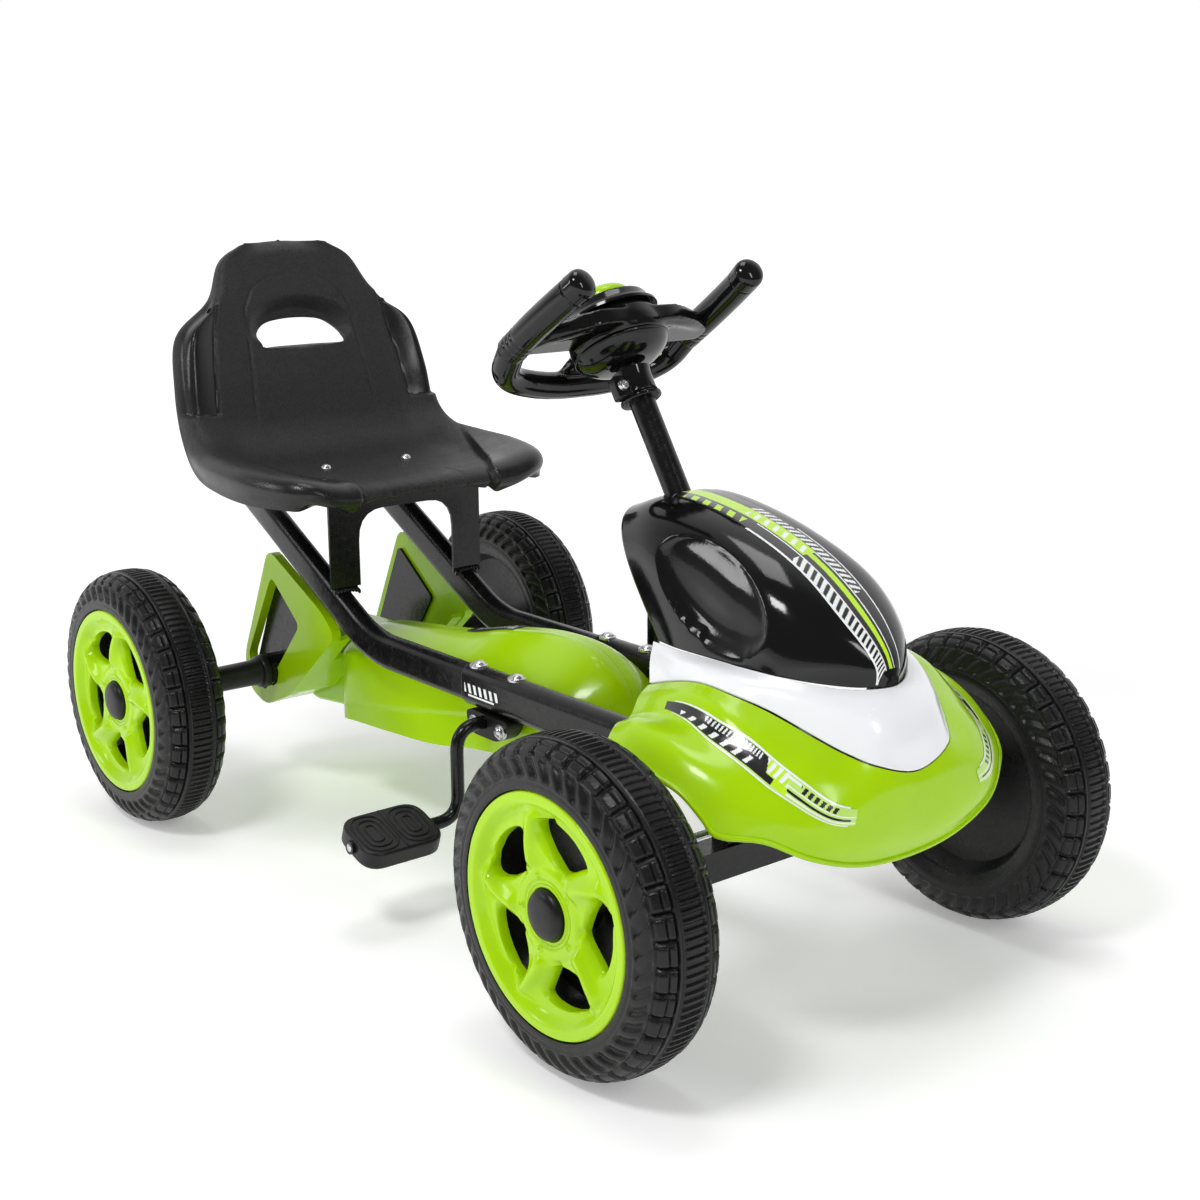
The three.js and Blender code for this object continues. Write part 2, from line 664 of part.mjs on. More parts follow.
function coverSolid(inset) {
  const split = inset ? -2 : PART_GAP / 2;
  const last = coverSections.length - 1;
  return loft(coverSections.map(([x, top, shoulder, bottom, share], k) => {
    const at = x + (k === 0 ? inset : 0) - (k === last ? inset : 0);
    const width = COVER_HALF_WIDTH * share - inset;
    const floor = bottom - (inset ? 8 : 0);
    return [[split, top - inset], [11, top - inset], [width * 0.95, shoulder], [width, shoulder - 10], [width, floor],
      [split, floor]].map(([y, z]) => new THREE.Vector3(at, Math.max(y, split), z));
  }));
}

function lobeSolid(inset) {
  const radius = LOBE_RADIUS - inset;
  const front = coverRear + (inset ? 8 : 2);
  const shape = new THREE.Shape();
  shape.moveTo(front, 55 - inset);
  shape.lineTo(REAR_AXLE_X, radius);
  shape.absarc(REAR_AXLE_X, 0, radius, Math.PI / 2, (3 * Math.PI) / 2);
  shape.lineTo(front, -34 + inset);
  shape.closePath();
  return slabY(shape, inset ? -2 : PART_GAP / 2, LOBE_HALF_WIDTH - inset);
}

function chainCoverGeometry() {
  const body = join(coverSolid(0), lobeSolid(0));
  const hollow = join(coverSolid(COVER_WALL), lobeSolid(COVER_WALL));
  const crankHole = barY(CRANK_ROD_RADIUS + 3, 20, 90, 0, 4).translate(CRANK_X, 0, crankRise);
  const axleHole = barY(AXLE_RADIUS + 3, 10, 60, 0, 4).translate(REAR_AXLE_X, 0, 0);
  return cut(body, hollow, crankHole, axleHole);
}

// The side fin: a frame round the bearing plate and a web back to the chain cover.
function finGeometry() {
  const under = (x) => stayCentre(x) - stayHalfDepth - 2;
  const outline = rounded([
    [REAR_AXLE_X + 8, under(REAR_AXLE_X + 8) - 6],
    [REAR_AXLE_X + 112, under(REAR_AXLE_X + 112)],
    [REAR_AXLE_X + 136, 62],
    [REAR_AXLE_X + 40, -20],
    [REAR_AXLE_X - 12, -42],
    [REAR_AXLE_X - 46, -30],
    [REAR_AXLE_X - 54, 4],
  ], 14);
  const window = rounded([
    [REAR_AXLE_X + 12, 103],
    [REAR_AXLE_X + 66, 60],
    [REAR_AXLE_X - 14, -28],
    [REAR_AXLE_X - 46, 6],
  ], 9);
  const solid = slabY(outline, -FIN_OUTER, -FIN_OUTER + FIN_THICKNESS, 4);
  const frame = cut(solid, slabY(window, -FIN_OUTER - 1, -FIN_OUTER + FIN_THICKNESS + 1, 4));
  const web = new THREE.Shape([
    new THREE.Vector2(REAR_AXLE_X - 10, -40),
    new THREE.Vector2(REAR_AXLE_X + 40, -18.5),
    new THREE.Vector2(REAR_AXLE_X + 126, 55),
    new THREE.Vector2(REAR_AXLE_X + 124, 59),
    new THREE.Vector2(REAR_AXLE_X + 38, -14),
    new THREE.Vector2(REAR_AXLE_X - 11, -36),
  ]);
  const webSolid = slabY(web, -FIN_OUTER + 2, -LOBE_HALF_WIDTH - 1);
  const cornerRoom = slabY(rounded([
    [coverRear - 3, -80],
    [coverRear - 3, 80],
    [coverRear + 60, 80],
    [coverRear + 60, -80],
  ], 1), -COVER_HALF_WIDTH - 2, 0);
  const axleRoom = barY(BEARING_RADIUS + 1, -100, -50, 0, 5).translate(REAR_AXLE_X, 0, 0);
  return cut(join(frame, webSolid), cornerRoom, axleRoom);
}

// The steel plate inside the fin, with the axle bearing's housing.
function bearingPlateGeometry() {
  const outer = -FIN_OUTER + FIN_THICKNESS + PART_GAP;
  const outline = rounded([
    [REAR_AXLE_X + 10, 112],
    [REAR_AXLE_X + 72, 66],
    [REAR_AXLE_X + 20, -6],
    [REAR_AXLE_X - 14, -24],
    [REAR_AXLE_X - 44, 0],
  ], 6);
  const plate = slabY(outline, outer, outer + PLATE);
  const housing = barY(BEARING_RADIUS, -FIN_OUTER - 5, outer + PLATE, 0, 5).translate(REAR_AXLE_X, 0, 0);
  const bore = barY(AXLE_RADIUS + RUNNING_GAP, -120, 0, 0, 8).translate(REAR_AXLE_X, 0, 0);
  const webRoom = slabY(new THREE.Shape([
    new THREE.Vector2(REAR_AXLE_X - 10, -43),
    new THREE.Vector2(REAR_AXLE_X + 140, 64),
    new THREE.Vector2(REAR_AXLE_X + 140, -60),
  ]), -100, outer);
  return cut(join(plate, cut(housing, webRoom)), bore);
}

// ---------------------------------------------------------------- seat
// Ribs from the front lip to the top of the back: x from the rear axle, height, half-width and side lift.
const seatRibs = [
  [176, 198, 92, 0],
  [185, 209, 118, 2],
  [170, 219, 148, 8],
  [116, 219, 163, 16],
  [56, 222, 163, 17],
  [8, 230, 158, 16],
  [-22, 257, 153, 12],
  [-36, 302, 150, 14],
  [-52, 352, 138, 16],
  [-62, 384, 97, 8],
  [-74, 420, 78, 2],
  [-78, 436, 52, 0],
];
const SEAT_SKIRT = 24;

function seatGeometry() {
  const spine = new THREE.CatmullRomCurve3(seatRibs.map(([x, z]) => new THREE.Vector3(REAR_AXLE_X + x, 0, z)));
  const rows = [];
  const steps = 2 * (seatRibs.length - 1);
  for (let step = 0; step <= steps; step++) {
    const t = step / steps;
    const centre = spine.getPoint(t);
    const tangent = spine.getTangent(t);
    const up = new THREE.Vector3(tangent.z, 0, -tangent.x);
    const [low, high] = [Math.floor(step / 2), Math.ceil(step / 2)];
    const mix = (column) => (seatRibs[low][column] + seatRibs[high][column]) / 2;
    const width = mix(2);
    const lift = mix(3);
    const skirt = SEAT_SKIRT * Math.min(1, width / 140);
    const half = [[0, 0], [0.4, 0], [0.66, 0.15 * lift], [0.86, 0.85 * lift], [0.95, lift], [1, 0.4 * lift - 4],
      [1, -skirt]];
    const all = [...half.slice(1).reverse().map(([y, rise]) => [-y, rise]), ...half];
    rows.push(all.map(([y, rise]) => up.clone().multiplyScalar(rise).add(centre).setY(y * width)));
  }
  const slot = alongX(rounded([[-52, 332], [-46, 358], [46, 358], [52, 332]], 12), REAR_AXLE_X - 100, REAR_AXLE_X + 20, 4);
  return cut(shell(rows, SEAT_WALL), slot);
}

// ---------------------------------------------------------------- front fairing
// Ribs down the right side, from the rear edge to the nose: x from the front axle, half-width and height.
const cowlRibs = [
  { ridge: [-170, 246], base: [-99, 59, 148.5] },
  { ridge: [-128, 259], base: [-74, 65, 149.5] },
  { ridge: [-76, 255.5], base: [-41, 69, 151] },
  { ridge: [-21, 242], base: [-1, 70.5, 152] },
  { ridge: [29, 220], base: [40, 65, 151] },
  { ridge: [69, 191], base: [68, 46, 147.5] },
  { ridge: [90, 168], base: [85, 24, 144.5] },
  { ridge: [97, 152], base: [95, 7, 144.5] },
];
const whiteRibs = [
  [[-104, 61, 148], [-92, 75, 136], [-82, 84, 122]],
  [[-61, 68, 150], [-54, 81, 144.5], [-46, 92, 134]],
  [[-21, 71, 152], [-13, 85, 150], [-6, 97, 142.5]],
  [[16, 71.5, 153], [22, 85, 149], [26, 95, 140]],
  [[42, 66.5, 152], [47, 77, 144], [49, 84, 132]],
  [[59, 57.5, 149.5], [65, 68, 140], [66, 77, 125]],
  [[72, 43.5, 146], [82, 57, 135], [84, 68, 116]],
  [[84, 28.5, 144], [98, 44, 130], [102, 56, 106]],
  [[92, 14, 143.5], [111, 28, 125], [118, 40, 97]],
  [[96, 0, 143.5], [116, 0, 119], [124, 0, 86]],
];
const limeRibs = [
  [[-82, 85, 121], [-80, 96, 115], [-70, 114, 104], [-54, 142, 107], [-37, 165, 103]],
  [[-46, 93, 133], [-44, 104, 128], [-40, 118, 115], [-28, 146, 116], [-14, 166, 99]],
  [[-6, 98, 141.5], [-3, 110, 135], [1, 122, 119], [6, 148, 113], [14, 166, 92]],
  [[26, 96, 139], [32, 111, 130], [36, 124, 113], [39, 147, 103], [43, 162, 83]],
  [[49, 85, 131], [58, 103, 120], [64, 118, 104], [65, 142, 90], [63, 159, 69]],
  [[66, 78, 124], [77, 97, 110], [84, 112, 94], [82, 136, 78], [73, 156, 59]],
  [[84, 69, 115], [97, 88, 100], [104, 104, 82], [103, 119, 68], [95, 130, 54]],
  [[102, 57, 105], [115, 74, 87], [121, 86, 67], [119, 94, 52], [111, 99, 38]],
  [[118, 41, 96], [124.5, 48, 80], [127, 52, 60], [125, 54, 40], [116, 54, 23]],
  [[124, 0, 85], [127, 0, 75], [127.5, 0, 57], [125, 0, 37], [117, 0, 18]],
];

// A surface through ribs that run outwards and down, from the rear right round the nose to the rear left.
function fairingSheet(ribs, alongSteps, acrossSteps) {
  const right = ribs.map((rib) => rib.map(([x, y, z]) => new THREE.Vector3(FRONT_AXLE_X + x, -y, z)));
  const left = right.slice(0, -1).reverse().map((rib) => rib.map((p) => new THREE.Vector3(p.x, -p.y, p.z)));
  const across = [...right, ...left].map((rib) => new THREE.CatmullRomCurve3(rib).getPoints(acrossSteps));
  const rows = [];
  const count = alongSteps * (across.length - 1);
  const lines = across[0].map((_, j) => new THREE.CatmullRomCurve3(across.map((rib) => rib[j])));
  for (let i = 0; i <= count; i++) rows.push(lines.map((line) => line.getPoint(i / count)));
  return shell(rows, FAIRING_WALL);
}

function cowlSolid(inset) {
  const last = cowlRibs.length - 1;
  return loft(cowlRibs.map(({ ridge, base }, k) => {
    const shift = inset ? THREE.MathUtils.lerp(inset + 2, -inset - 2, k / last) : 0;
    const loop = [];
    for (let step = 0; step <= 12; step++) {
      const angle = (Math.PI * step) / 12;
      const side = Math.sign(Math.cos(angle)) * Math.abs(Math.cos(angle)) ** 0.75;
      const rise = Math.sin(angle) ** 0.75;
      const x = THREE.MathUtils.lerp(base[0], ridge[0], rise) + shift;
      const floor = base[2] - (inset ? 8 : 0);
      const z = THREE.MathUtils.lerp(floor, ridge[1] - inset, rise);
      loop.push(new THREE.Vector3(FRONT_AXLE_X + x, -side * (base[1] - inset * 0.9), z));
    }
    return loop;
  }));
}

function cowlGeometry() {
  const columnRoom = alongColumn(barZ(COLUMN_RADIUS + 5, -60, 60), 140);
  return cut(cowlSolid(0), cowlSolid(FAIRING_WALL), columnRoom);
}

// ---------------------------------------------------------------- steering
// Drawn in the wheel's own frame: origin at the hub, +Z up the column, +X towards the front of the kart.
const SPINDLE_TOP = -21;

function steeringWheelGeometry() {
  const gripFoot = new THREE.Vector3(-20, GRIP_SPACING / 2, 13);
  const bar = bend([
    gripFoot,
    new THREE.Vector3(-52, 90, 4),
    new THREE.Vector3(-66, 36, -2),
    new THREE.Vector3(-66, -36, -2),
    new THREE.Vector3(-52, -90, 4),
    gripFoot.clone().setY(-GRIP_SPACING / 2),
  ], 20, 2);
  const rim = sweep(ring(12), bar, new THREE.Vector3(0, 0, 1), 3);
  const arms = rounded([[-8, -96], [-8, 96], [8, 97], [28, 66], [40, 42], [40, -42], [28, -66], [8, -97]], 10);
  const spoke = rounded([[-62, -22], [-62, 22], [0, 34], [0, -34]], 6);
  const hub = outward(mergeBare(new THREE.LatheGeometry([[0, -4], [40, -4], [41, 8], [39, 22], [0, 26]]
    .map(([r, z]) => new THREE.Vector2(r, z)), 24))).rotateX(Math.PI / 2);
  const pieces = join(prism(arms, 14, 3).translate(0, 0, 2), prism(spoke, 10, 3), hub, rim);
  const gripRoom = [-1, 1].map((side) => box(-20, 140, side * 96 - 14, side * 96 + 14, -10, 40));
  return cut(pieces, ...gripRoom);
}

function gripGeometry(side) {
  const y = (side * GRIP_SPACING) / 2;
  const path = [
    new THREE.Vector3(-20 + PART_GAP, y, 13),
    new THREE.Vector3(20, y, 15),
    new THREE.Vector3(60, y - side * 3, 17),
    new THREE.Vector3(86, y - side * 7, 19),
    new THREE.Vector3(92, y - side * 8, 19.5),
  ];
  const circle = ring(GRIP_RADIUS);
  const section = circle.getPoints(4).slice(0, -1);
  const shares = [1, 1, 1, 1, 0.6];
  return loft(path.map((point, k) => section.map((p) =>
    new THREE.Vector3(point.x, point.y + p.x * shares[k], point.z + p.y * shares[k]))));
}

const turnZ = (profile, segments) =>
  outward(mergeBare(new THREE.LatheGeometry(profile.map(([r, z]) => new THREE.Vector2(r, z)), segments))).rotateX(Math.PI / 2);

function columnGeometry() {
  const tube = barZ(COLUMN_RADIUS, -COLUMN_LENGTH, SPINDLE_TOP - PART_GAP, COLUMN_RADIUS - COLUMN_WALL, 6);
  const arm = prism(rounded([[14, -10], [14, 10], [-STEERING_ARM - 8, 16], [-STEERING_ARM - 8, -16]], 7), 4, 3);
  return join(tube, arm.translate(0, 0, -COLUMN_LENGTH));
}

function collarGeometry() {
  const inner = COLUMN_RADIUS + PART_GAP;
  const clamp = join(barZ(COLUMN_RADIUS + 5, -52, -25, 0, 6), box(-6, 6, -COLUMN_RADIUS - 13, 0, -48, -30));
  const boltHole = alongX(ring(2.6), -20, 20).translate(0, -COLUMN_RADIUS - 8, -39);
  return cut(clamp, barZ(inner, -80, 0, 0, 6), boltHole);
}

function collarBoltGeometry() {
  const place = [0, -COLUMN_RADIUS - 8, -39];
  const shank = alongX(ring(2.3), -9, 7);
  const head = alongX(ring(4.4), 6.3, 9.5);
  return join(shank, head).translate(...place);
}

// The knuckle: kingpin, yoke, stub axle and steering arm, drawn round the right kingpin.
function knuckleGeometry(armReach) {
  const ear = KINGPIN_TUBE_HALF + RUNNING_GAP;
  const outboard = FRONT_TRACK / 2 - KINGPIN_SPACING / 2;
  const pieces = [
    barZ(KINGPIN_RADIUS, -ear - 6, ear + 6, 0, 4),
    box(-10, 10, -20, 9, ear, ear + 4),
    box(-10, 10, -20, 9, -ear - 4, -ear),
    box(-10, 10, -20, -15, -ear - 4, ear + 4),
    barY(AXLE_RADIUS, -outboard - 18, -16, 0, 4),
  ];
  const arm = rounded([[8, -20], [-armReach - 8, -8], [-armReach - 8, 8], [-armReach + 8, 8], [-16, -14], [8, -14]], 3);
  pieces.push(prism(arm, 4, 3).translate(0, 0, KNUCKLE_ARM_LEVEL));
  return join(...pieces);
}

function tieRodGeometry() {
  const reach = KINGPIN_SPACING / 2;
  const eye = (y) => barZ(6, TIE_ROD_LEVEL - 1.5, TIE_ROD_LEVEL + 1.5, 0, 4).translate(0, y, 0);
  const rod = barY(3.5, -reach + 4, -TIE_ROD_SPLIT - 4, 0, 4).translate(0, 0, TIE_ROD_LEVEL);
  return join(rod, eye(-reach), eye(-TIE_ROD_SPLIT));
}

// ---------------------------------------------------------------- assembly
const kart = group(0, TYRE_RADIUS);

for (const [side, label] of [[-1, 'right'], [1, 'left']]) {
  kart.add(group(FRONT_AXLE_X, 0, wheel(`front_${label}`, side, FRONT_TRACK)));
  kart.add(group(REAR_AXLE_X, 0, wheel(`rear_${label}`, side, REAR_TRACK)));
  kart.add(part(`rear_rail_${label}`, railGeometry(side * railY), blackPaint));
  kart.add(part(`front_rail_${label}`, sleeveGeometry(side * railY), blackPaint));
  railBolts.forEach((x, k) => {
    kart.add(part(`rail_bolt_${label}_${k + 1}`, railBoltGeometry().translate(x, side * railY, 0), zinc));
  });
}

kart.add(
  part('seat_bracket', seatBracketGeometry(), blackPaint),
  part('rear_seat_strap', rearSeatStrapGeometry(), blackPaint),
  part('seat_shell', seatGeometry(), satin),
  part('steering_column_bearing', columnBearingGeometry(), blackPaint),
  group(FRONT_AXLE_X, 0, part('front_axle_beam', frontBeamGeometry(), blackPaint)),
  part('fairing_lower', fairingSheet(limeRibs, 2, 7), lime),
  part('fairing_panel', fairingSheet(whiteRibs, 2, 3), white),
  part('fairing_cowl', cowlGeometry(), gloss),
  ...pair('chain_cover', mirrorY(chainCoverGeometry()), lime),
  ...pair('rear_fin', finGeometry(), lime),
  ...pair('bearing_plate', bearingPlateGeometry(), blackPaint),
  ...pair('crank_bracket', crankBracketGeometry(), blackPaint),
  part('drive_chain', chainGeometry(), zinc),
);

const spacerStart = FIN_OUTER + 6;
const spacer = barY(SPACER_RADIUS, -rearHubFace + 0.5, -spacerStart, AXLE_RADIUS + RUNNING_GAP, 8);
kart.add(group(
  REAR_AXLE_X,
  0,
  part('rear_axle', barY(AXLE_RADIUS, -REAR_TRACK / 2 - 18, REAR_TRACK / 2 + 18, 0, 4), zinc),
  part('rear_sprocket', toothed(SPROCKET_TEETH, AXLE_RADIUS + PART_GAP), zinc),
  ...pair('axle_spacer', spacer, satin),
));

const crank = group(CRANK_X, crankRise);
crank.add(part('crank_rod', crankRodGeometry(), blackPaint));
crank.add(part('chainring', toothed(CHAINRING_TEETH, CRANK_ROD_RADIUS + PART_GAP), zinc));
for (const [side, label] of [[-1, 'right'], [1, 'left']]) {
  const pedal = part(`pedal_${label}`, side > 0 ? pedalGeometry() : mirrorY(pedalGeometry()), satin);
  pedal.position.set(0, side * PEDAL_INNER, side * CRANK_THROW);
  pedal.rotation.y = PEDAL_TILT;
  crank.add(pedal);
}
kart.add(crank);

const steering = group(hubX, WHEEL_HUB_RISE);
steering.rotation.y = -COLUMN_LEAN;
steering.add(
  part('steering_column', columnGeometry(), blackPaint),
  part('column_collar', collarGeometry(), gloss),
  part('collar_bolt', collarBoltGeometry(), zinc),
  part('wheel_boss', turnZ([[0, SPINDLE_TOP], [16, SPINDLE_TOP], [30, -17], [41, -9], [42, -4 - PART_GAP], [0, -4 - PART_GAP]], 24), gloss),
  part('steering_wheel', steeringWheelGeometry(), gloss),
  part('grip_right', gripGeometry(-1), gloss),
  part('grip_left', gripGeometry(1), gloss),
  part('horn_ring', turnZ([[HORN_RADIUS + 1, 27], [37, 27], [37, 36], [33, 41], [HORN_RADIUS + 1, 41], [HORN_RADIUS + 1, 27]], 24), satin),
  part('horn_button', turnZ([[0, 33], [HORN_RADIUS, 33], [HORN_RADIUS, 45], [HORN_RADIUS - 6, 51], [0, 53]], 24), lime),
);
kart.add(steering);

const armTip = onColumn(COLUMN_LENGTH).add(
  new THREE.Vector3(-STEERING_ARM * Math.cos(COLUMN_LEAN), 0, -STEERING_ARM * Math.sin(COLUMN_LEAN)));
const knuckleArm = FRONT_AXLE_X - armTip.x;
const rightKnuckle = knuckleGeometry(knuckleArm);
kart.add(group(
  FRONT_AXLE_X,
  0,
  part('knuckle_right', rightKnuckle.clone().translate(0, -KINGPIN_SPACING / 2, 0), blackPaint),
  part('knuckle_left', mirrorY(rightKnuckle).translate(0, KINGPIN_SPACING / 2, 0), blackPaint),
));
kart.add(group(
  armTip.x,
  0,
  ...pair('tie_rod', tieRodGeometry(), zinc),
));

kart.updateMatrixWorld(true);
export default kart;
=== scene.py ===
# Looks for the pedal kart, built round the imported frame.
# Shapes are drawn in millimetres, in the frame's axes; mesh_piece turns them into metres.
import math

import bmesh
import bpy
import numpy as np
from mathutils import Matrix, Vector


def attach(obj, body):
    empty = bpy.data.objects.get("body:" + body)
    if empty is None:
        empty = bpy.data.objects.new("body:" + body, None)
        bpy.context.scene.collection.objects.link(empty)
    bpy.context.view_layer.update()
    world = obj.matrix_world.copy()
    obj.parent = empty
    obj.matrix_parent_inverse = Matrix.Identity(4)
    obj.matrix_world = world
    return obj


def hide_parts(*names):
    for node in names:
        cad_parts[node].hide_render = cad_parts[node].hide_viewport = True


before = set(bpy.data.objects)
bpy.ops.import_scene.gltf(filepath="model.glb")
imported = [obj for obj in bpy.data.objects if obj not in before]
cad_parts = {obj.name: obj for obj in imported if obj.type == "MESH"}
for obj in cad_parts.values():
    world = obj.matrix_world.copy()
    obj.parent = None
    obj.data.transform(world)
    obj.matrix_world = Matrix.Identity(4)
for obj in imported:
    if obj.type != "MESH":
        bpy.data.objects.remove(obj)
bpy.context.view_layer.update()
MM = 0.001

AXLE_X = 346.0
AXLE_Z = 128.0
LEAN = math.radians(32.55)
HUB = np.array([129.2, 0.0, 498.5])
SIDES = (("right", -1), ("left", 1))


# ---------------------------------------------------------------- materials
class Nodes:
    """A material with a Principled shader and short calls for the nodes that feed it."""

    def __init__(self, name, colour, roughness, metallic=0.0, coat=0.0, coat_roughness=0.05, specular=0.5):
        self.material = bpy.data.materials.new(name)
        self.material.use_nodes = True
        self.tree = self.material.node_tree
        self.shader = self.tree.nodes["Principled BSDF"]
        values = {"Base Color": (*colour, 1), "Roughness": roughness, "Metallic": metallic,
                  "Coat Weight": coat,
                  "Coat Roughness": coat_roughness, "Specular IOR Level": specular}
        for key, value in values.items():
            self.shader.inputs[key].default_value = value
        self.place = self.tree.nodes.new("ShaderNodeTexCoord").outputs["Object"]
        self.colour = colour
        self.bump_height = None

    def link(self, a, b):
        self.tree.links.new(a, b)

    def noise(self, scale, detail=3.0, roughness=0.5):
        node = self.tree.nodes.new("ShaderNodeTexNoise")
        node.inputs["Scale"].default_value = scale
        node.inputs["Detail"].default_value = detail
        node.inputs["Roughness"].default_value = roughness
        self.link(self.place, node.inputs["Vector"])
        return node.outputs["Fac"]

    def cells(self, scale, feature="F1"):
        node = self.tree.nodes.new("ShaderNodeTexVoronoi")
        node.feature = feature
        node.inputs["Scale"].default_value = scale
        self.link(self.place, node.inputs["Vector"])
        return node.outputs["Distance"]

    def ramp(self, source, low, high, out_low, out_high):
        node = self.tree.nodes.new("ShaderNodeMapRange")
        for key, value in (("From Min", low), ("From Max", high), ("To Min", out_low), ("To Max", out_high)):
            node.inputs[key].default_value = value
        self.link(source, node.inputs["Value"])
        return node.outputs["Result"]

    def math(self, operation, a, b):
        node = self.tree.nodes.new("ShaderNodeMath")
        node.operation = operation
        for socket, value in zip(node.inputs, (a, b)):
            if isinstance(value, float):
                socket.default_value = value
            else:
                self.link(value, socket)
        return node.outputs[0]

    def attribute(self, name):
        node = self.tree.nodes.new("ShaderNodeAttribute")
        node.attribute_name = name
        return node.outputs["Fac"]

    def vary(self, source, darker, lighter):
        """The base colour moves between two multiples of itself as source goes from 0 to 1."""
        node = self.tree.nodes.new("ShaderNodeMix")
        node.data_type = "RGBA"
        for index, share in ((6, darker), (7, lighter)):
            node.inputs[index].default_value = (*[min(1.0, c * share) for c in self.colour], 1)
        self.link(source, node.inputs[0])
        self.link(node.outputs[2], self.shader.inputs["Base Color"])

    def rough(self, source):
        self.link(source, self.shader.inputs["Roughness"])

    def bump(self, source, distance, strength=1.0):
        node = self.tree.nodes.new("ShaderNodeBump")
        node.inputs["Strength"].default_value = strength
        node.inputs["Distance"].default_value = distance
        self.link(source, node.inputs["Height"])
        self.link(node.outputs["Normal"], self.shader.inputs["Normal"])


def plastic(name, colour, roughness, coat, peel=0.00006, spread=0.06, specular=0.5):
    """Moulded plastic: faint flow marks in the colour, uneven gloss and a slight orange peel."""
    m = Nodes(name, colour, roughness, coat=coat, specular=specular)
    m.vary(m.ramp(m.noise(9), 0.3, 0.7, 0, 1), 1 - spread, 1 + spread)
    m.rough(m.ramp(m.noise(55, 5, 0.65), 0.3, 0.75, roughness * 0.75, roughness * 1.35))
    m.bump(m.noise(420, 2), peel)
    return m.material


LIME = plastic("lime_plastic", (0.37, 0.64, 0.0), 0.2, 0.12, specular=0.3)
WHITE = plastic("white_plastic", (0.86, 0.87, 0.90), 0.22, 0.5, spread=0.015)
GLOSS = plastic("gloss_black_plastic", (0.004, 0.004, 0.0042), 0.1, 0.12, peel=0.00004, spread=0.3,
                specular=0.32)
SATIN = plastic("satin_black_plastic", (0.007, 0.007, 0.0073), 0.36, 0.0, peel=0.0001, spread=0.2,
                specular=0.32)


def painted_metal():
    m = Nodes("black_paint", (0.0042, 0.0042, 0.0044), 0.18, coat=0.05, specular=0.32)
    m.vary(m.ramp(m.noise(14), 0.3, 0.7, 0, 1), 0.8, 1.25)
    m.rough(m.ramp(m.noise(160, 6, 0.7), 0.35, 0.7, 0.16, 0.34))
    m.bump(m.noise(900, 2), 0.00006)
    return m.material


def tyre_plastic():
    m = Nodes("tyre", (0.0055, 0.0055, 0.0057), 0.3, specular=0.32)
    m.vary(m.ramp(m.noise(30, 5), 0.3, 0.7, 0, 1), 0.75, 1.35)
    m.rough(m.ramp(m.noise(220, 5, 0.7), 0.3, 0.7, 0.22, 0.42))
    m.bump(m.noise(1500, 3, 0.6), 0.00012)
    return m.material


def seat_plastic():
    """Pebble-grained where the attribute is 0, smooth and shinier where it is 1. On the grain each pebble's
    centre is painted lighter, a painted highlight.
    """
    m = Nodes("seat_plastic", (0.011, 0.011, 0.0113), 0.48, specular=0.42)
    smooth = m.attribute("smooth_area")
    grain_highlight_mask = m.math("SUBTRACT", 1.0, smooth)
    pebbles = m.math("ADD", m.ramp(m.cells(620), 0.1, 0.75, 1.0, 0.0),
                     m.math("MULTIPLY", m.noise(1100, 2), 0.6))
    # Painted highlight: pebble centres on the grained area are painted up to 2.5 times lighter than their
    # edges.
    m.vary(m.math("MULTIPLY", m.ramp(m.cells(620), 0.1, 0.7, 1.0, 0.0), grain_highlight_mask), 0.8, 2.0)
    base = m.ramp(smooth, 0, 1, 0.5, 0.24)
    m.rough(m.math("ADD", base, m.ramp(m.noise(70, 5), 0.3, 0.7, -0.05, 0.06)))
    m.bump(m.math("MULTIPLY", pebbles, m.ramp(smooth, 0, 1, 1.0, 0.1)), 0.00028)
    return m.material


def metal(name, colour, roughness):
    m = Nodes(name, colour, roughness, metallic=1.0)
    m.vary(m.ramp(m.noise(300, 4), 0.3, 0.7, 0, 1), 0.8, 1.15)
    m.rough(m.ramp(m.noise(600, 4), 0.3, 0.7, roughness * 0.6, roughness * 1.5))
    m.bump(m.noise(1800, 2), 0.00003)
    return m.material


PAINT = painted_metal()
TYRE = tyre_plastic()
SEAT = seat_plastic()
ZINC = metal("zinc_steel", (0.62, 0.62, 0.64), 0.26)
FILM = [plastic("decal_black", (0.012, 0.012, 0.013), 0.2, 0.5, spread=0.1),
        plastic("decal_white", (0.82, 0.84, 0.84), 0.25, 0.4, spread=0.02),
        plastic("decal_lime", (0.50, 0.80, 0.01), 0.25, 0.3),
        plastic("decal_pale", (0.50, 0.76, 0.16), 0.25, 0.4)]
BLACK_INK, WHITE_INK, LIME_INK, PALE_INK = range(4)


# ---------------------------------------------------------------- mesh helpers
def mesh_piece(name, points, faces, material, body, replaced=(), attribute=None):
    """A mesh riding a body and standing for CAD nodes. A printed film has a list of inks."""
    mesh = bpy.data.meshes.new(name)
    mesh.from_pydata((np.asarray(points, float) * MM).tolist(), [], [list(map(int, f)) for f in faces])
    mesh.validate()
    work = bmesh.new()
    work.from_mesh(mesh)
    bmesh.ops.recalc_face_normals(work, faces=work.faces)
    work.to_mesh(mesh)
    work.free()
    mesh.polygons.foreach_set("use_smooth", [True] * len(mesh.polygons))
    if attribute is not None:
        layer = mesh.attributes.new("smooth_area", "FLOAT", "POINT")
        layer.data.foreach_set("value", np.asarray(attribute, np.float32))
    for each in material if material is FILM else [material]:
        mesh.materials.append(each)
    piece = bpy.data.objects.new(name, mesh)
    bpy.context.collection.objects.link(piece)
    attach(piece, body)
    if replaced:
        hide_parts(*replaced)
    return piece


def settle(piece):
    """Applies the modifiers."""
    graph = bpy.context.evaluated_depsgraph_get()
    done = bpy.data.meshes.new_from_object(piece.evaluated_get(graph))
    old = piece.data
    piece.modifiers.clear()
    piece.data = done
    bpy.data.meshes.remove(old)
    return piece


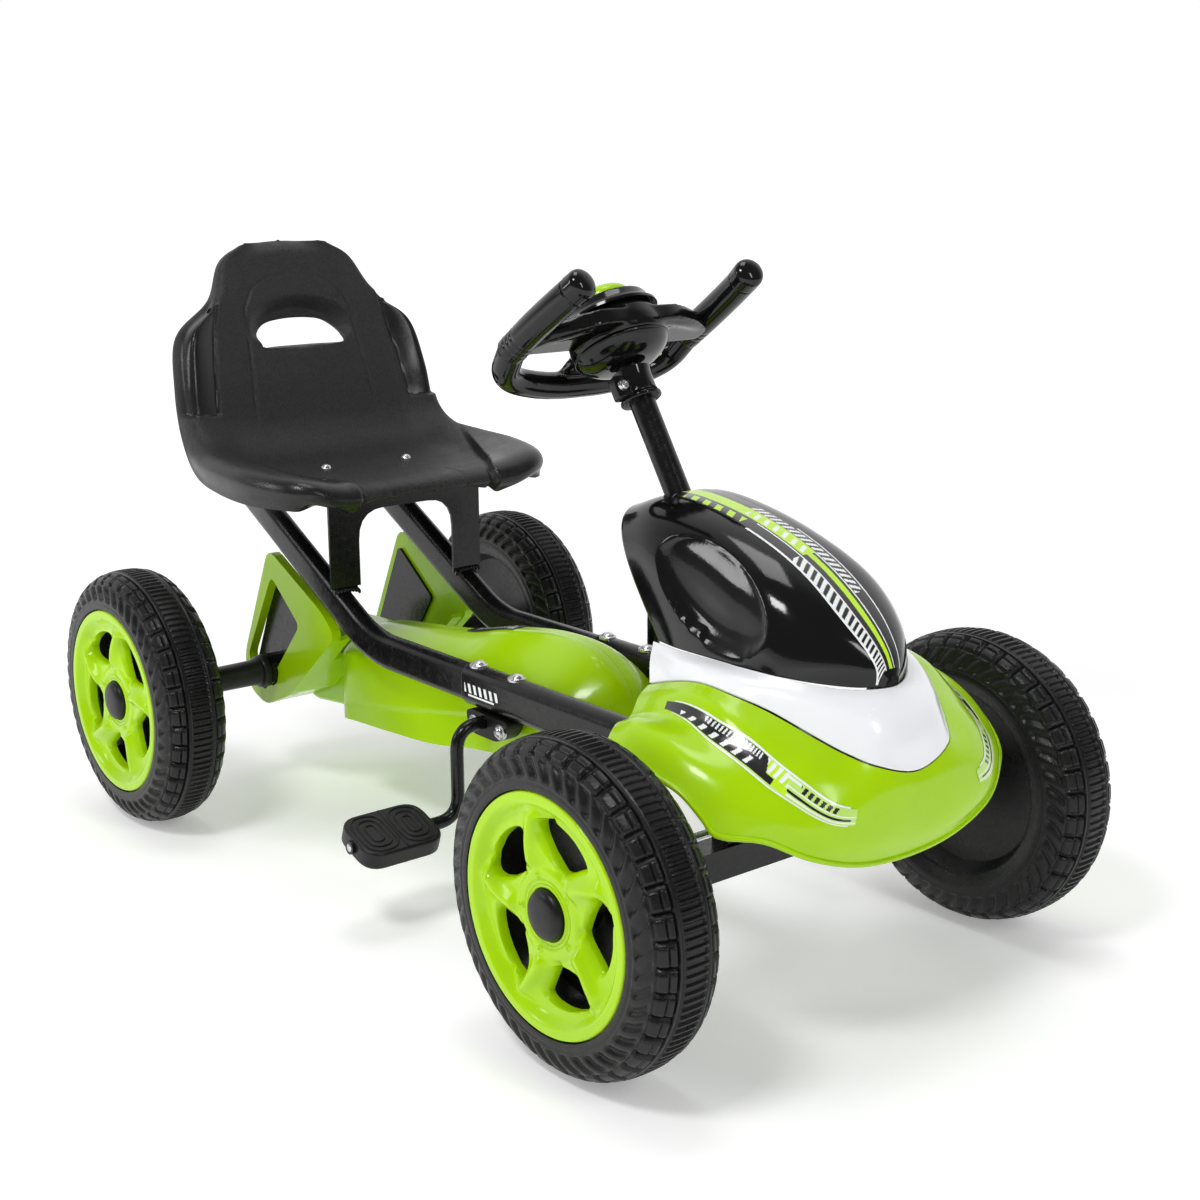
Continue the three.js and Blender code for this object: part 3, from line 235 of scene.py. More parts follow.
def bevel(piece, width, segments=3, angle=30):
    m = piece.modifiers.new("bevel", "BEVEL")
    m.width = width * MM
    m.segments = segments
    m.limit_method = "ANGLE"
    m.angle_limit = math.radians(angle)
    m.harden_normals = True
    return piece


def sharpen(piece, angle=40):
    piece.data.set_sharp_from_angle(angle=math.radians(angle))
    return piece


def solidify(piece, thickness, offset=-1.0):
    m = piece.modifiers.new("thickness", "SOLIDIFY")
    m.thickness = thickness * MM
    m.offset = offset
    m.use_even_offset = True
    return piece


def grid_faces(rows, columns, wrap_rows=False, wrap_columns=False):
    faces = []
    for i in range(rows if wrap_rows else rows - 1):
        for j in range(columns if wrap_columns else columns - 1):
            a, b = i * columns, ((i + 1) % rows) * columns
            k = (j + 1) % columns
            faces.append((a + j, a + k, b + k, b + j))
    return faces


def catmull(points, count):
    """count points along a centripetal Catmull-Rom curve."""
    p = np.asarray(points, float)
    if len(p) == 2:
        t = np.linspace(0, 1, count)[:, None]
        return p[0] * (1 - t) + p[1] * t
    p = np.vstack([2 * p[0] - p[1], p, 2 * p[-1] - p[-2]])
    out = []
    segments = len(p) - 3
    for s in np.linspace(0, segments, count):
        k = min(int(s), segments - 1)
        u = s - k
        a, b, c, d = p[k:k + 4]
        gaps = [max(np.linalg.norm(y - x), 1e-6) ** 0.5 for x, y in ((a, b), (b, c), (c, d))]
        t0, t1 = 0.0, gaps[0]
        t2 = t1 + gaps[1]
        t3 = t2 + gaps[2]
        t = t1 + u * (t2 - t1)
        a1 = (t1 - t) / (t1 - t0) * a + (t - t0) / (t1 - t0) * b
        a2 = (t2 - t) / (t2 - t1) * b + (t - t1) / (t2 - t1) * c
        a3 = (t3 - t) / (t3 - t2) * c + (t - t2) / (t3 - t2) * d
        b1 = (t2 - t) / (t2 - t0) * a1 + (t - t0) / (t2 - t0) * a2
        b2 = (t3 - t) / (t3 - t1) * a2 + (t - t1) / (t3 - t1) * a3
        out.append((t2 - t) / (t2 - t1) * b1 + (t - t1) / (t2 - t1) * b2)
    return np.array(out)


def normals_of(grid):
    """Unit normals of a rows x columns x 3 grid."""
    along = np.gradient(grid, axis=0)
    across = np.gradient(grid, axis=1)
    n = np.cross(along, across)
    return n / np.maximum(np.linalg.norm(n, axis=2, keepdims=True), 1e-9)


def sweep(path, section, up=(0, 1, 0), closed=False):
    """Grid of a section (n x 2, lateral then upward) carried along a path."""
    path = np.asarray(path, float)
    up = np.asarray(up, float)
    grid = []
    for k, point in enumerate(path):
        before = path[k - 1] if k or closed else path[0]
        after = path[(k + 1) % len(path)] if k + 1 < len(path) or closed else path[-1]
        tangent = after - before
        tangent /= np.linalg.norm(tangent)
        side = np.cross(tangent, up)
        side /= np.linalg.norm(side)
        rise = np.cross(side, tangent)
        shape = section(k / (len(path) - 1)) if callable(section) else section
        grid.append(point + shape[:, :1] * rise + shape[:, 1:] * side)
    return np.array(grid)


def tube_mesh(grid, cap=True, closed=False):
    rows, columns = grid.shape[:2]
    points = list(grid.reshape(-1, 3))
    faces = grid_faces(rows, columns, wrap_rows=closed, wrap_columns=True)
    if cap and not closed:
        for row, turn in ((0, 1), (rows - 1, -1)):
            loop = [row * columns + j for j in range(columns)]
            centre = len(points)
            points.append(grid[row].mean(axis=0))
            faces += [(loop[j], loop[(j + 1) % columns], centre)[::turn] for j in range(columns)]
    return points, faces


def circle(radius, count=24):
    a = np.linspace(0, 2 * math.pi, count, endpoint=False)
    return np.c_[np.cos(a), np.sin(a)] * radius


def bend(points, radius, steps=8, closed=False):
    """A path with its corners rounded, or a closed outline."""
    p = [np.asarray(q, float) for q in points]
    path = [] if closed else [p[0]]
    for k in range(len(p)) if closed else range(1, len(p) - 1):
        back, ahead = p[k - 1] - p[k], p[(k + 1) % len(p)] - p[k]
        lengths = np.linalg.norm(back), np.linalg.norm(ahead)
        start = p[k] + back / lengths[0] * min(radius, lengths[0] / 2.05)
        end = p[k] + ahead / lengths[1] * min(radius, lengths[1] / 2.05)
        path += [(1 - t) ** 2 * start + 2 * t * (1 - t) * p[k] + t * t * end for t in np.linspace(0, 1,
                                                                                                  steps)]
    if not closed:
        path.append(p[-1])
    return np.array(path)


def lathe(profile, count=64):
    """Grid turned about +Z: profile is (radius, height) pairs."""
    a = np.linspace(0, 2 * math.pi, count, endpoint=False)
    return np.array([[(r * math.cos(t), r * math.sin(t), h) for t in a] for r, h in profile])


def grid_piece(name, grid, material, body, replaced=(), angle=0, wrap=False):
    """A piece from a grid that is closed round its columns and, with wrap, along its rows too."""
    piece = mesh_piece(name, grid.reshape(-1, 3), grid_faces(*grid.shape[:2], wrap, True), material, body,
                       replaced)
    return sharpen(piece, angle) if angle else piece


def tube_piece(name, grid, material, body, replaced=(), angle=0):
    piece = mesh_piece(name, *tube_mesh(grid), material, body, replaced)
    return sharpen(piece, angle) if angle else piece


def step(x, low, high):
    t = np.clip((x - low) / (high - low), 0, 1)
    return t * t * (3 - 2 * t)


def window(x, low, high, soft):
    return step(x, low - soft, low + soft) * (1 - step(x, high - soft, high + soft))


# ---------------------------------------------------------------- road wheels
TYRE_R, TYRE_HALF, BEAD_R, RIM_R = 128.0, 34.4, 93.6, 91.6
# Points round a tyre, then the repeats round it: shoulder blocks, middle bars, sidewall scallops.
AROUND = 600
BLOCKS, BARS, SCALLOPS = 40, 120, 44
CROWN_POWER = 2.7


def tyre_grid():
    """Grid about +Y (a outboard), as (x, a, z) with the tread moulded in."""
    fine = np.linspace(0, math.pi, 2001)
    crown = np.c_[BEAD_R + (TYRE_R - BEAD_R) * np.sin(fine) ** (2 / CROWN_POWER),
                  TYRE_HALF * np.sign(np.cos(fine)) * np.abs(np.cos(fine)) ** (2 / CROWN_POWER)]
    length = np.r_[0, np.cumsum(np.linalg.norm(np.diff(crown, axis=0), axis=1))]
    marks = np.linspace(0, length[-1], 92)
    crown = np.c_[np.interp(marks, length, crown[:, 0]), np.interp(marks, length, crown[:, 1])]
    normal = np.gradient(crown, axis=0)
    normal = np.c_[-normal[:, 1], normal[:, 0]]
    normal /= np.linalg.norm(normal, axis=1, keepdims=True)
    theta = np.linspace(0, 2 * math.pi, AROUND, endpoint=False)
    r, a = crown[:, :1], np.abs(crown[:, 1:2])
    bars = (theta * BARS / (2 * math.pi)) % 1
    block = (theta * BLOCKS / (2 * math.pi)) % 1
    depth = np.zeros((len(crown), AROUND))
    centre = 1 - step(a, 9.8, 10.6)
    depth -= 2.3 * centre * step(np.abs(bars - 0.5), 0.2, 0.32)
    depth -= 2.0 * window(a, 10.9, 11.9, 0.5)
    depth -= 0.3 * window(a, 12.4, 14.0, 0.4)
    depth -= 2.6 * window(a, 14.6, 15.9, 0.5)
    lugs = step(a, 15.9, 16.7) * (1 - step(118.5 - r, 0, 1.5))
    depth -= 3.0 * lugs * (1 - step(0.5 - np.abs(block - 0.5), 0.04, 0.085))
    depth -= 1.3 * lugs * window(block, 0.15, 0.21, 0.03)
    depth -= 1.6 * lugs * window(a, 20.4, 22.0, 0.5) * window(block, 0.2, 0.95, 0.03)
    depth -= 1.3 * window(r, 117.2, 118.6, 0.6) * (a > 20)
    curve = 0.9 * np.clip((r - 100) / 18, 0, 1) ** 1.6
    wave = (theta * SCALLOPS / (2 * math.pi) + curve) % 1
    ridge = np.where(wave < 0.62, wave / 0.62, (1 - wave) / 0.38)
    depth -= 2.6 * step(ridge, 0.2, 1.0) * window(r, 102.5, 115.8, 1.5) * (a > 20)
    depth -= 0.5 * window(r, 98.2, 99.2, 0.4) * (a > 20)
    radius = r + normal[:, :1] * depth
    lateral = crown[:, 1:2] + normal[:, 1:2] * depth
    rows = [np.c_[radius[i] * np.cos(theta), lateral[i],
                  radius[i] * np.sin(theta)] for i in range(len(crown))]
    inside = [(BEAD_R - 1.2, -TYRE_HALF + 0.4), (84, -TYRE_HALF + 3), (81.6, -TYRE_HALF + 5), (75.6, -15),
              (74, -14),
              (22, -14), (20, -15), (17.4, -32), (16.6, -33), (6.35, -33), (6.35, 2), (16.4, 2), (17.2, 1),
              (19, -8.4), (20, -9), (76, -9), (77.6, -8.4), (91.2, 5), (91.9, 7), (91.9, 31),
              (BEAD_R - 1, 34.2)]
    rows += [np.c_[q * np.cos(theta), np.full(AROUND, b), q * np.sin(theta)] for q, b in inside]
    return np.array(rows)


# A rim's opening: its two edges, in degrees from its middle, at each radius.
OPENING_R = [38, 40, 42, 46, 50, 55, 60, 63, 66, 68, 70, 71.5, 72.5]
OPENING_LOW = [-5, -11, -13.5, -17, -19.5, -22, -24.3, -25, -22.5, -18, -9, 0, 12]
OPENING_HIGH = [-4, 3, 8, 15, 19, 22.5, 24.6, 25, 25, 24.6, 23, 20.5, 14]


def rim_height(r, phi):
    """Outboard position of the rim's face at radius r and angle phi from an opening's middle, in degrees."""
    low = np.interp(r, OPENING_R, OPENING_LOW)
    high = np.interp(r, OPENING_R, OPENING_HIGH)
    arc = math.pi / 180 * r
    face = 27.6 + 7.2 * step(r, 75.5, 85)
    face = face - 2.4 * step(r, 89.8, 92) ** 2
    crest_at = 41 - 13 * step(r, 36, 76)
    spoke = ((phi - crest_at + 36) % 72) - 36
    crest = np.exp(-((spoke * arc / 6.6) ** 2)) * 5.0
    shelf = np.exp(-((((phi + 38 + 36) % 72) - 36) * arc / 9) ** 2) * 2.6
    face = face + (crest + shelf) * window(r, 36, 77, 6)
    outside = np.maximum(np.maximum(low - phi, phi - high) * arc, np.maximum(38 - r, r - 72.5))
    lip = np.clip(1 - np.clip(outside, 0, 9) / 6.5, 0, 1)
    face = face - 4.2 * lip ** 2.2
    face = face + 1.8 * (1 - step(r, 31, 37))
    face = face - 1.0 * window(r, 25.3, 26.4, 0.5) - 0.9 * window(r, 22.2, 23.1, 0.4)
    boss = np.hypot(r * np.cos(np.radians(phi)) - 29.5 * math.cos(math.radians(36)),
                    np.abs(r * np.sin(np.radians(phi))) - 29.5 * math.sin(math.radians(36)))
    face = face + 1.5 * (1 - step(boss, 2.0, 3.2)) - 1.6 * (1 - step(boss, 0.5, 1.3))
    return face - 3.5 * (1 - step(r, 19.6, 20.4))


def rim_mesh(phase):
    """The five-spoke face as one sheet, with the band behind it."""
    radii = np.r_[np.linspace(18, 37, 26), np.linspace(38, 72.5, 40), np.linspace(73.5, 91.6, 26)]
    spans = (16, 14, 16)
    points, faces = [], []
    per_row = sum(spans)
    for sector in range(5):
        base = len(points)
        for r in radii:
            low, high = np.interp(r, OPENING_R, OPENING_LOW), np.interp(r, OPENING_R, OPENING_HIGH)
            angles = np.r_[np.linspace(-36, low, spans[0], endpoint=False),
                           np.linspace(low, high, spans[1], endpoint=False),
                           np.linspace(high, 36, spans[2] + 1)]
            heights = rim_height(np.full(len(angles), r), angles)
            world = math.pi - np.radians(angles + 72 * sector + phase)
            points += list(np.c_[r * np.cos(world), heights, r * np.sin(world)])
        for i in range(len(radii) - 1):
            for j in range(per_row):
                if 38 <= radii[i] and radii[i + 1] <= 72.5 and spans[0] <= j < spans[0] + spans[1]:
                    continue
                a = base + i * (per_row + 1) + j
                faces.append((a, a + 1, a + per_row + 2, a + per_row + 1))
    return np.array(points), faces


def weld(piece, distance=0.01):
    work = bmesh.new()
    work.from_mesh(piece.data)
    bmesh.ops.remove_doubles(work, verts=work.verts, dist=distance * MM)
    bmesh.ops.recalc_face_normals(work, faces=work.faces)
    work.to_mesh(piece.data)
    work.free()
    return piece


def thicken_rim(piece):
    """Draws the face's open edges back into walls behind the openings and round the band."""
    work = bmesh.new()
    work.from_mesh(piece.data)
    edges = [e for e in work.edges if e.is_boundary]
    made = bmesh.ops.extrude_edge_only(work, edges=edges)
    for v in [g for g in made["geom"] if isinstance(g, bmesh.types.BMVert)]:
        v.co.y = (8.5 if math.hypot(v.co.x, v.co.z) > 0.09 else 19.0) * MM
    bmesh.ops.recalc_face_normals(work, faces=work.faces)
    work.to_mesh(piece.data)
    work.free()
    piece.data.polygons.foreach_set("use_smooth", [True] * len(piece.data.polygons))
    return piece


TREAD = tyre_grid()


def road_wheel(name, body, x, y, phase):
    side = 1 if y > 0 else -1
    turn = np.array([side, side, 1])
    place = np.array([x, y, AXLE_Z])
    tread = TREAD * turn + place
    grid_piece(f"tyre_{name}", tread, TYRE, body, [f"{name}_tyre"], 50, wrap=True)
    points, faces = rim_mesh(phase)
    rim = mesh_piece(f"rim_{name}", points, faces, LIME, body, [f"{name}_rim"])
    thicken_rim(weld(rim))
    sharpen(rim, 55)
    rim.data.transform(Matrix.Diagonal((side, side, 1, 1)))
    rim.data.transform(Matrix.Translation(Vector(place * MM)))
    cap = [(0.01, 36.9), (8, 36.6), (14, 35.6), (17.2, 34.0), (18.9, 31.9), (19.4, 30), (19.4, 28.4),
           (0.01, 28.4)]
    smooth_cap = catmull(cap[:6], 20)
    grid = lathe([tuple(p) for p in smooth_cap] + cap[6:])
    grid = np.stack([grid[..., 0], grid[..., 2], grid[..., 1]], axis=-1) * turn + place
    grid_piece(f"hub_cap_{name}", grid, SATIN, body, [f"{name}_hub_cap"], 60)


road_wheel("front_right", "front_right_wheel", AXLE_X, -221.5, 74)
road_wheel("front_left", "front_left_wheel", AXLE_X, 221.5, 30)
road_wheel("rear_right", "rear_axle", -AXLE_X, -229.5, 49)
road_wheel("rear_left", "rear_left_wheel", -AXLE_X, 229.5, 10)


# ---------------------------------------------------------------- nose fairing
# Right half of each sheet: ribs from the rear round to the nose, each from its inner edge outwards and down.
# A point is its distance ahead of the front axle, from the centre plane, and above the axle.
LIME_RIBS = [
    [(-82, 85, 121), (-80, 96, 115), (-70, 114, 104), (-54, 142, 107), (-37, 165, 103)],
    [(-46, 93, 133), (-44, 104, 128), (-40, 118, 115), (-28, 146, 116), (-14, 166, 99)],
    [(-6, 98, 141.5), (-3, 110, 135), (1, 122, 119), (6, 148, 113), (14, 166, 92)],
    [(26, 96, 139), (32, 111, 130), (36, 124, 113), (39, 147, 103), (43, 162, 83)],
    [(49, 85, 131), (58, 103, 120), (64, 118, 104), (65, 142, 90), (63, 159, 69)],
    [(66, 78, 124), (77, 97, 110), (84, 112, 94), (82, 136, 78), (73, 156, 59)],
    [(84, 69, 115), (97, 88, 100), (104, 104, 82), (103, 119, 68), (95, 130, 54)],
    [(102, 57, 105), (115, 74, 87), (121, 86, 67), (119, 94, 52), (111, 99, 38)],
    [(118, 41, 96), (124.5, 48, 80), (127, 52, 60), (125, 54, 40), (116, 54, 23)],
    [(124, 0, 85), (127, 0, 75), (127.5, 0, 57), (125, 0, 37), (117, 0, 18)],
]
WHITE_RIBS = [
    [(-104, 61, 148), (-92, 75, 136), (-82, 84, 122)],
    [(-61, 68, 150), (-54, 81, 144.5), (-46, 92, 134)],
    [(-21, 71, 152), (-13, 85, 150), (-6, 97, 142.5)],
    [(16, 71.5, 153), (22, 85, 149), (26, 95, 140)],
    [(42, 66.5, 152), (47, 77, 144), (49, 84, 132)],
    [(59, 57.5, 149.5), (65, 68, 140), (66, 77, 125)],
    [(72, 43.5, 146), (82, 57, 135), (84, 68, 116)],
    [(84, 28.5, 144), (98, 44, 130), (102, 56, 106)],
    [(92, 14, 143.5), (111, 28, 125), (118, 40, 97)],
    [(96, 0, 143.5), (116, 0, 119), (124, 0, 86)],
]
# The cowl's ridge (ahead, above) and its lower edge (ahead, from the centre plane, above), rear to tip.
COWL_RIDGE = [(-170, 246), (-128, 259), (-76, 255.5), (-21, 242), (29, 220), (69, 191), (90, 168), (97, 152)]
COWL_BASE = [(-99, 59, 148.5), (-74, 65, 149.5), (-41, 69, 151), (-1, 70.5, 152), (40, 65, 151),
             (68, 46, 147.5),
             (85, 24, 144.5), (95, 7, 144.5)]


FAIRING_MIDDLE = np.array([AXLE_X, 0, AXLE_Z + 60])


def fairing_grid(ribs, rows, columns):
    """Rows run from the rear right round the nose to the rear left; columns run outwards and down."""
    right = [[(AXLE_X + x, -y, AXLE_Z + z) for x, y, z in rib] for rib in ribs]
    left = [[(x, -y, z) for x, y, z in rib] for rib in right[-2::-1]]
    across = np.array([catmull(rib, columns) for rib in right + left])
    return np.stack([catmull(across[:, j], rows) for j in range(columns)], axis=1)


def on_grid(grid, u, v):
    """Point and outward normal at fractions u, v of a grid."""
    n = normals_of(grid)
    x, y = np.clip(u, 0, 1) * (grid.shape[0] - 1), np.clip(v, 0, 1) * (grid.shape[1] - 1)
    i, j = np.minimum(x.astype(int), grid.shape[0] - 2), np.minimum(y.astype(int), grid.shape[1] - 2)
    a, b = (x - i)[..., None], (y - j)[..., None]

    def mix(g):
        near = g[i, j] * (1 - a) * (1 - b) + g[i + 1, j] * a * (1 - b)
        return near + g[i, j + 1] * (1 - a) * b + g[i + 1, j + 1] * a * b

    out = mix(n)
    point = mix(grid)
    flip = np.sign(np.sum(out * (point - FAIRING_MIDDLE), axis=-1, keepdims=True))
    return point, out * flip


def sheet_piece(name, grid, thickness, material, node, lip=0.0):
    """A moulded sheet with a thickness; its last column can turn into a rounded bead."""
    rows, columns = grid.shape[:2]
    piece = mesh_piece(name, grid.reshape(-1, 3), grid_faces(rows, columns), material, "chassis", [node])
    centre = Vector(FAIRING_MIDDLE * MM)
    middle = piece.data.polygons[len(piece.data.polygons) // 2]
    outward = middle.normal.dot(Vector(middle.center) - centre) > 0
    solidify(piece, thickness, -1.0 if outward else 1.0)
    bevel(piece, 0.9, 3, 50)
    settle(piece)
    if lip:
        edge = catmull(grid[::4, -1], 400)
        tube_piece(name + "_lip", sweep(edge, circle(lip, 12), up=(0, 0, 1)), material, "chassis")


lime_grid = fairing_grid(LIME_RIBS, 260, 72)
white_grid = fairing_grid(WHITE_RIBS, 200, 30)
sheet_piece("fairing_lower_skin", lime_grid, 3.0, LIME, "fairing_lower", lip=2.3)
sheet_piece("fairing_panel_skin", white_grid, 3.0, WHITE, "fairing_panel")

# The cowl's hollow: middle x and z, half length, half height and tilt.
DIMPLE = (311.0, 327.0, 65.0, 31.0, math.radians(-22))
DIMPLE_DEPTH = 8.5


def cowl_curves(count):
    ridge = catmull([(AXLE_X + x, 0, AXLE_Z + z) for x, z in COWL_RIDGE], count)
    base = catmull([(AXLE_X + x, y, AXLE_Z + z) for x, y, z in COWL_BASE], count)
    return ridge, base


def cowl_power(base):
    """Squareness of a section: boxy at the rear, round towards the nose."""
    return 0.55 + 0.2 * step(base[..., 0], 245, 350)


def cowl_point(ridge, base, side):
    """Point on a section. side runs from -1 at the right base over 0 at the ridge to 1 at the left base."""
    angle = (1 - np.abs(side)) * math.pi / 2
    power = cowl_power(base)
    rise = np.sin(angle) ** power
    spread = np.cos(angle) ** power * np.sign(side)
    x = base[..., 0] + (ridge[..., 0] - base[..., 0]) * rise
    z = base[..., 2] + (ridge[..., 2] - base[..., 2]) * rise
    return np.stack([x, base[..., 1] * spread, z], axis=-1)


def dimpled(points):
    """Presses a long oval hollow into each side of the cowl."""
    x0, z0, long, short, tilt = DIMPLE
    dx, dz = points[..., 0] - x0, points[..., 2] - z0
    a = (dx * math.cos(tilt) + dz * math.sin(tilt)) / long
    b = (-dx * math.sin(tilt) + dz * math.cos(tilt)) / short
    reach = np.sqrt(a * a + b * b)
    bowl = np.sqrt(np.clip(1 - (reach / 1.02) ** 2.2, 0, 1))
    depth = DIMPLE_DEPTH * bowl * (1 - 0.4 * np.clip(b, -1, 1))
    out = points.copy()
    out[..., 1] -= np.sign(points[..., 1]) * depth
    return out


def cowl_grid(rows, columns):
    ridge, base = cowl_curves(rows)
    side = np.linspace(-1, 1, columns)
    return np.array([cowl_point(ridge[i], base[i], side) for i in range(rows)])


cowl = cowl_grid(120, 97)
rows, columns = cowl.shape[:2]
skin = dimpled(cowl)
points = list(skin.reshape(-1, 3))
faces = grid_faces(rows, columns)
centre = skin[0].mean(axis=0) * np.array([1, 0, 1])
rings = []
for share in (0.965, 0.9, 0.6, 0.25):
    start = len(points)
    ring = centre + (skin[0] - centre) * share
    ring[:, 0] += 1.6 * (1 - share) ** 0.5 - 1.2
    points += list(ring)
    rings.append(start)
previous = 0
for start in rings:
    faces += [(previous + j, start + j, start + j + 1, previous + j + 1) for j in range(columns - 1)]
    faces.append((previous + columns - 1, start + columns - 1, start, previous))
    previous = start
hub_point = len(points)
points.append(centre)
faces += [(previous + j, previous + (j + 1) % columns, hub_point) for j in range(columns)]
cowl_piece = mesh_piece("cowl_skin", points, faces, GLOSS, "chassis", ["fairing_cowl"])
sharpen(cowl_piece, 70)

# The sleeve where the column leaves the cowl.
COLUMN_AXIS = np.array([-math.sin(LEAN), 0, math.cos(LEAN)])
COLUMN_FRONT = np.array([math.cos(LEAN), 0, math.sin(LEAN)])


def on_column(grid):
    """Points in the steering wheel's own frame moved to the kart's frame."""
    grid = np.asarray(grid, float)
    return HUB + grid[..., :1] * COLUMN_FRONT + grid[..., 1:2] * np.array([0, 1, 0]) + grid[...,
                                                                                            2:] * COLUMN_AXIS


collar_profile = [(12.2, -158), (17, -158), (19.5, -152), (18, -147), (15.5, -145.5), (12.2, -146)]
grid = on_column(lathe(collar_profile, 48))
grid_piece("cowl_column_boot", grid, GLOSS, "chassis", angle=60, wrap=True)


# ---------------------------------------------------------------- printed trim
def strip(name, point_at, length_cells, width_cells, pattern):
    """A thin printed film: point_at(u, w) gives the surface, pattern(u, w) picks a material or nothing."""
    u = np.linspace(0, 1, length_cells + 1)
    w = np.linspace(0, 1, width_cells + 1)
    uu, ww = np.meshgrid(u, w, indexing="ij")
    points = point_at(uu, ww).reshape(-1, 3)
    faces, kinds = [], []
    for i in range(length_cells):
        for j in range(width_cells):
            kind = pattern((i + 0.5) / length_cells, (j + 0.5) / width_cells)
            if kind is not None:
                a = i * (width_cells + 1) + j
                faces.append((a, a + 1, a + width_cells + 2, a + width_cells + 1))
                kinds.append(kind)
    piece = mesh_piece(name, points, faces, FILM, "chassis")
    piece.data.polygons.foreach_set("material_index", kinds)
    return piece


def ridge_surface(near, far, start, end, lift=0.35):
    """Surface patch along the cowl's ridge between two lateral offsets."""
    ridge, base = cowl_curves(400)

    def at(u, w):
        t = (start + (end - start) * u) * 399
        i = np.minimum(t.astype(int), 398)
        f = (t - i)[..., None]
        r = ridge[i] * (1 - f) + ridge[i + 1] * f
        b = base[i] * (1 - f) + base[i + 1] * f
        taper = 1 - 0.45 * step(u, 0.6, 1.0)
        y = (near + (far - near) * w) * taper
        angle = np.arccos(np.clip((np.abs(y) / b[..., 1]) ** (1 / cowl_power(b)), 0, 0.999))
        side = (1 - angle / (math.pi / 2)) * np.sign(y)
        p = cowl_point(r, b, side)
        q = np.stack([p[..., 0] * 0 + 0.45, y / 60, p[..., 2] * 0 + 0.9], axis=-1)
        return p + lift * q / np.linalg.norm(q, axis=-1, keepdims=True)

    return at


def ridge_pattern(u, w):
    """Slanted hatching between fine lines, with a coloured stripe up the middle."""
    if u < 0.30 and w < 0.34:
        if w < 0.04 or u < 0.02:
            return None
        return LIME_INK if 0.08 < w < 0.28 and 0.05 < u < 0.27 and (u * 22 + w * 1.6) % 1 < 0.5 else BLACK_INK
    if w < 0.05 or 0.30 < w < 0.34:
        return WHITE_INK if u > 0.3 else None
    if w < 0.30:
        if u < 0.34:
            return BLACK_INK
        return WHITE_INK if u > 0.46 and (u * 36 + w * 3.2) % 1 < 0.5 else BLACK_INK
    stripe = 0.36 if u < 0.46 else 0.46
    if stripe < w < (0.60 if u > 0.46 else 0.70):
        barred = 0.24 < u < 0.46 and 0.42 < w < 0.64 and (u * 30 + w * 2) % 1 < 0.4
        return WHITE_INK if barred else LIME_INK
    if 0.66 < w < 0.70:
        return WHITE_INK
    if 0.72 < w < 0.92 and 0.22 < u < 0.62:
        return WHITE_INK if (u * 46 - w * 3) % 1 < 0.5 else BLACK_INK
    if 0.96 < w:
        return WHITE_INK if u > 0.35 else None
    return BLACK_INK


strip("cowl_trim", ridge_surface(-25, 17, 0.14, 0.955), 330, 60, ridge_pattern)


def valley_surface(side, u0, u1, middles, widths):
    """Surface patch along the fairing's valley on one side."""
    def at(u, w):
        along = u0 + (u1 - u0) * u
        along = along if side < 0 else 1 - along
        middle = np.interp(u, np.linspace(0, 1, len(middles)), middles)
        half = np.interp(u, np.linspace(0, 1, len(widths)), widths)
        point, normal = on_grid(lime_grid, along, middle + (w - 0.5) * 2 * half)
        return point + normal * 0.4

    return at


def valley_pattern(u, w):
    """A dark wedge with hatching, slanted bars, then long stripes on a pale film."""
    if w < 0.07 or w > 0.94:
        return WHITE_INK if 0.04 < u < 0.97 else None
    if w < 0.10 or w > 0.90:
        return PALE_INK if u > 0.1 else None
    if u < 0.53 + w * 0.03:
        if 0.20 < u < 0.5 and 0.14 < w < 0.42:
            return WHITE_INK if (u * 52 + w * 2.4) % 1 < 0.45 else BLACK_INK
        if 0.08 < u < 0.47 and 0.54 < w < 0.82:
            return WHITE_INK if (u * 17 + w * 1.2) % 1 < 0.38 else BLACK_INK
        return BLACK_INK
    if u < 0.66 + w * 0.03:
        if (u * 26 + w * 1.3) % 1 < 0.55 and w < 0.6:
            return WHITE_INK
        return BLACK_INK if w > 0.66 and u < 0.6 else LIME_INK
    if 0.60 < w < 0.72:
        return BLACK_INK if u < 0.98 else PALE_INK
    if 0.78 < w < 0.85:
        return WHITE_INK
    if 0.16 < w < 0.44 and 0.74 < u < 0.92:
        return BLACK_INK if (u * 34 + w * 1.4) % 1 < 0.6 else PALE_INK
    if 0.14 < w < 0.26 and u < 0.74 or 0.48 < w < 0.54:
        return WHITE_INK
    return PALE_INK


for label, side in SIDES:
    at = valley_surface(side, 0.075, 0.42, [0.40, 0.42, 0.44, 0.46, 0.47, 0.46],
                        [0.05, 0.10, 0.12, 0.11, 0.10, 0.08])
    strip(f"fender_trim_{label}", at, 230, 36, valley_pattern)


# ---------------------------------------------------------------- seat
# The seat from front lip to top: distance ahead of the rear axle, height above it, half width, bolster
# height.
SEAT_RIBS = [(176, 198, 92, 0), (185, 209, 118, 2), (170, 219, 148, 8), (116, 219, 163, 16),
             (56, 222, 163, 17),
             (8, 230, 158, 16), (-22, 257, 153, 12), (-36, 302, 150, 14), (-52, 352, 138, 16),
             (-62, 384, 97, 8),
             (-74, 420, 78, 2), (-78, 436, 52, 0)]
SEAT_ROWS, SEAT_HALF = 240, 90
SEAT_THICKNESS = 4.5


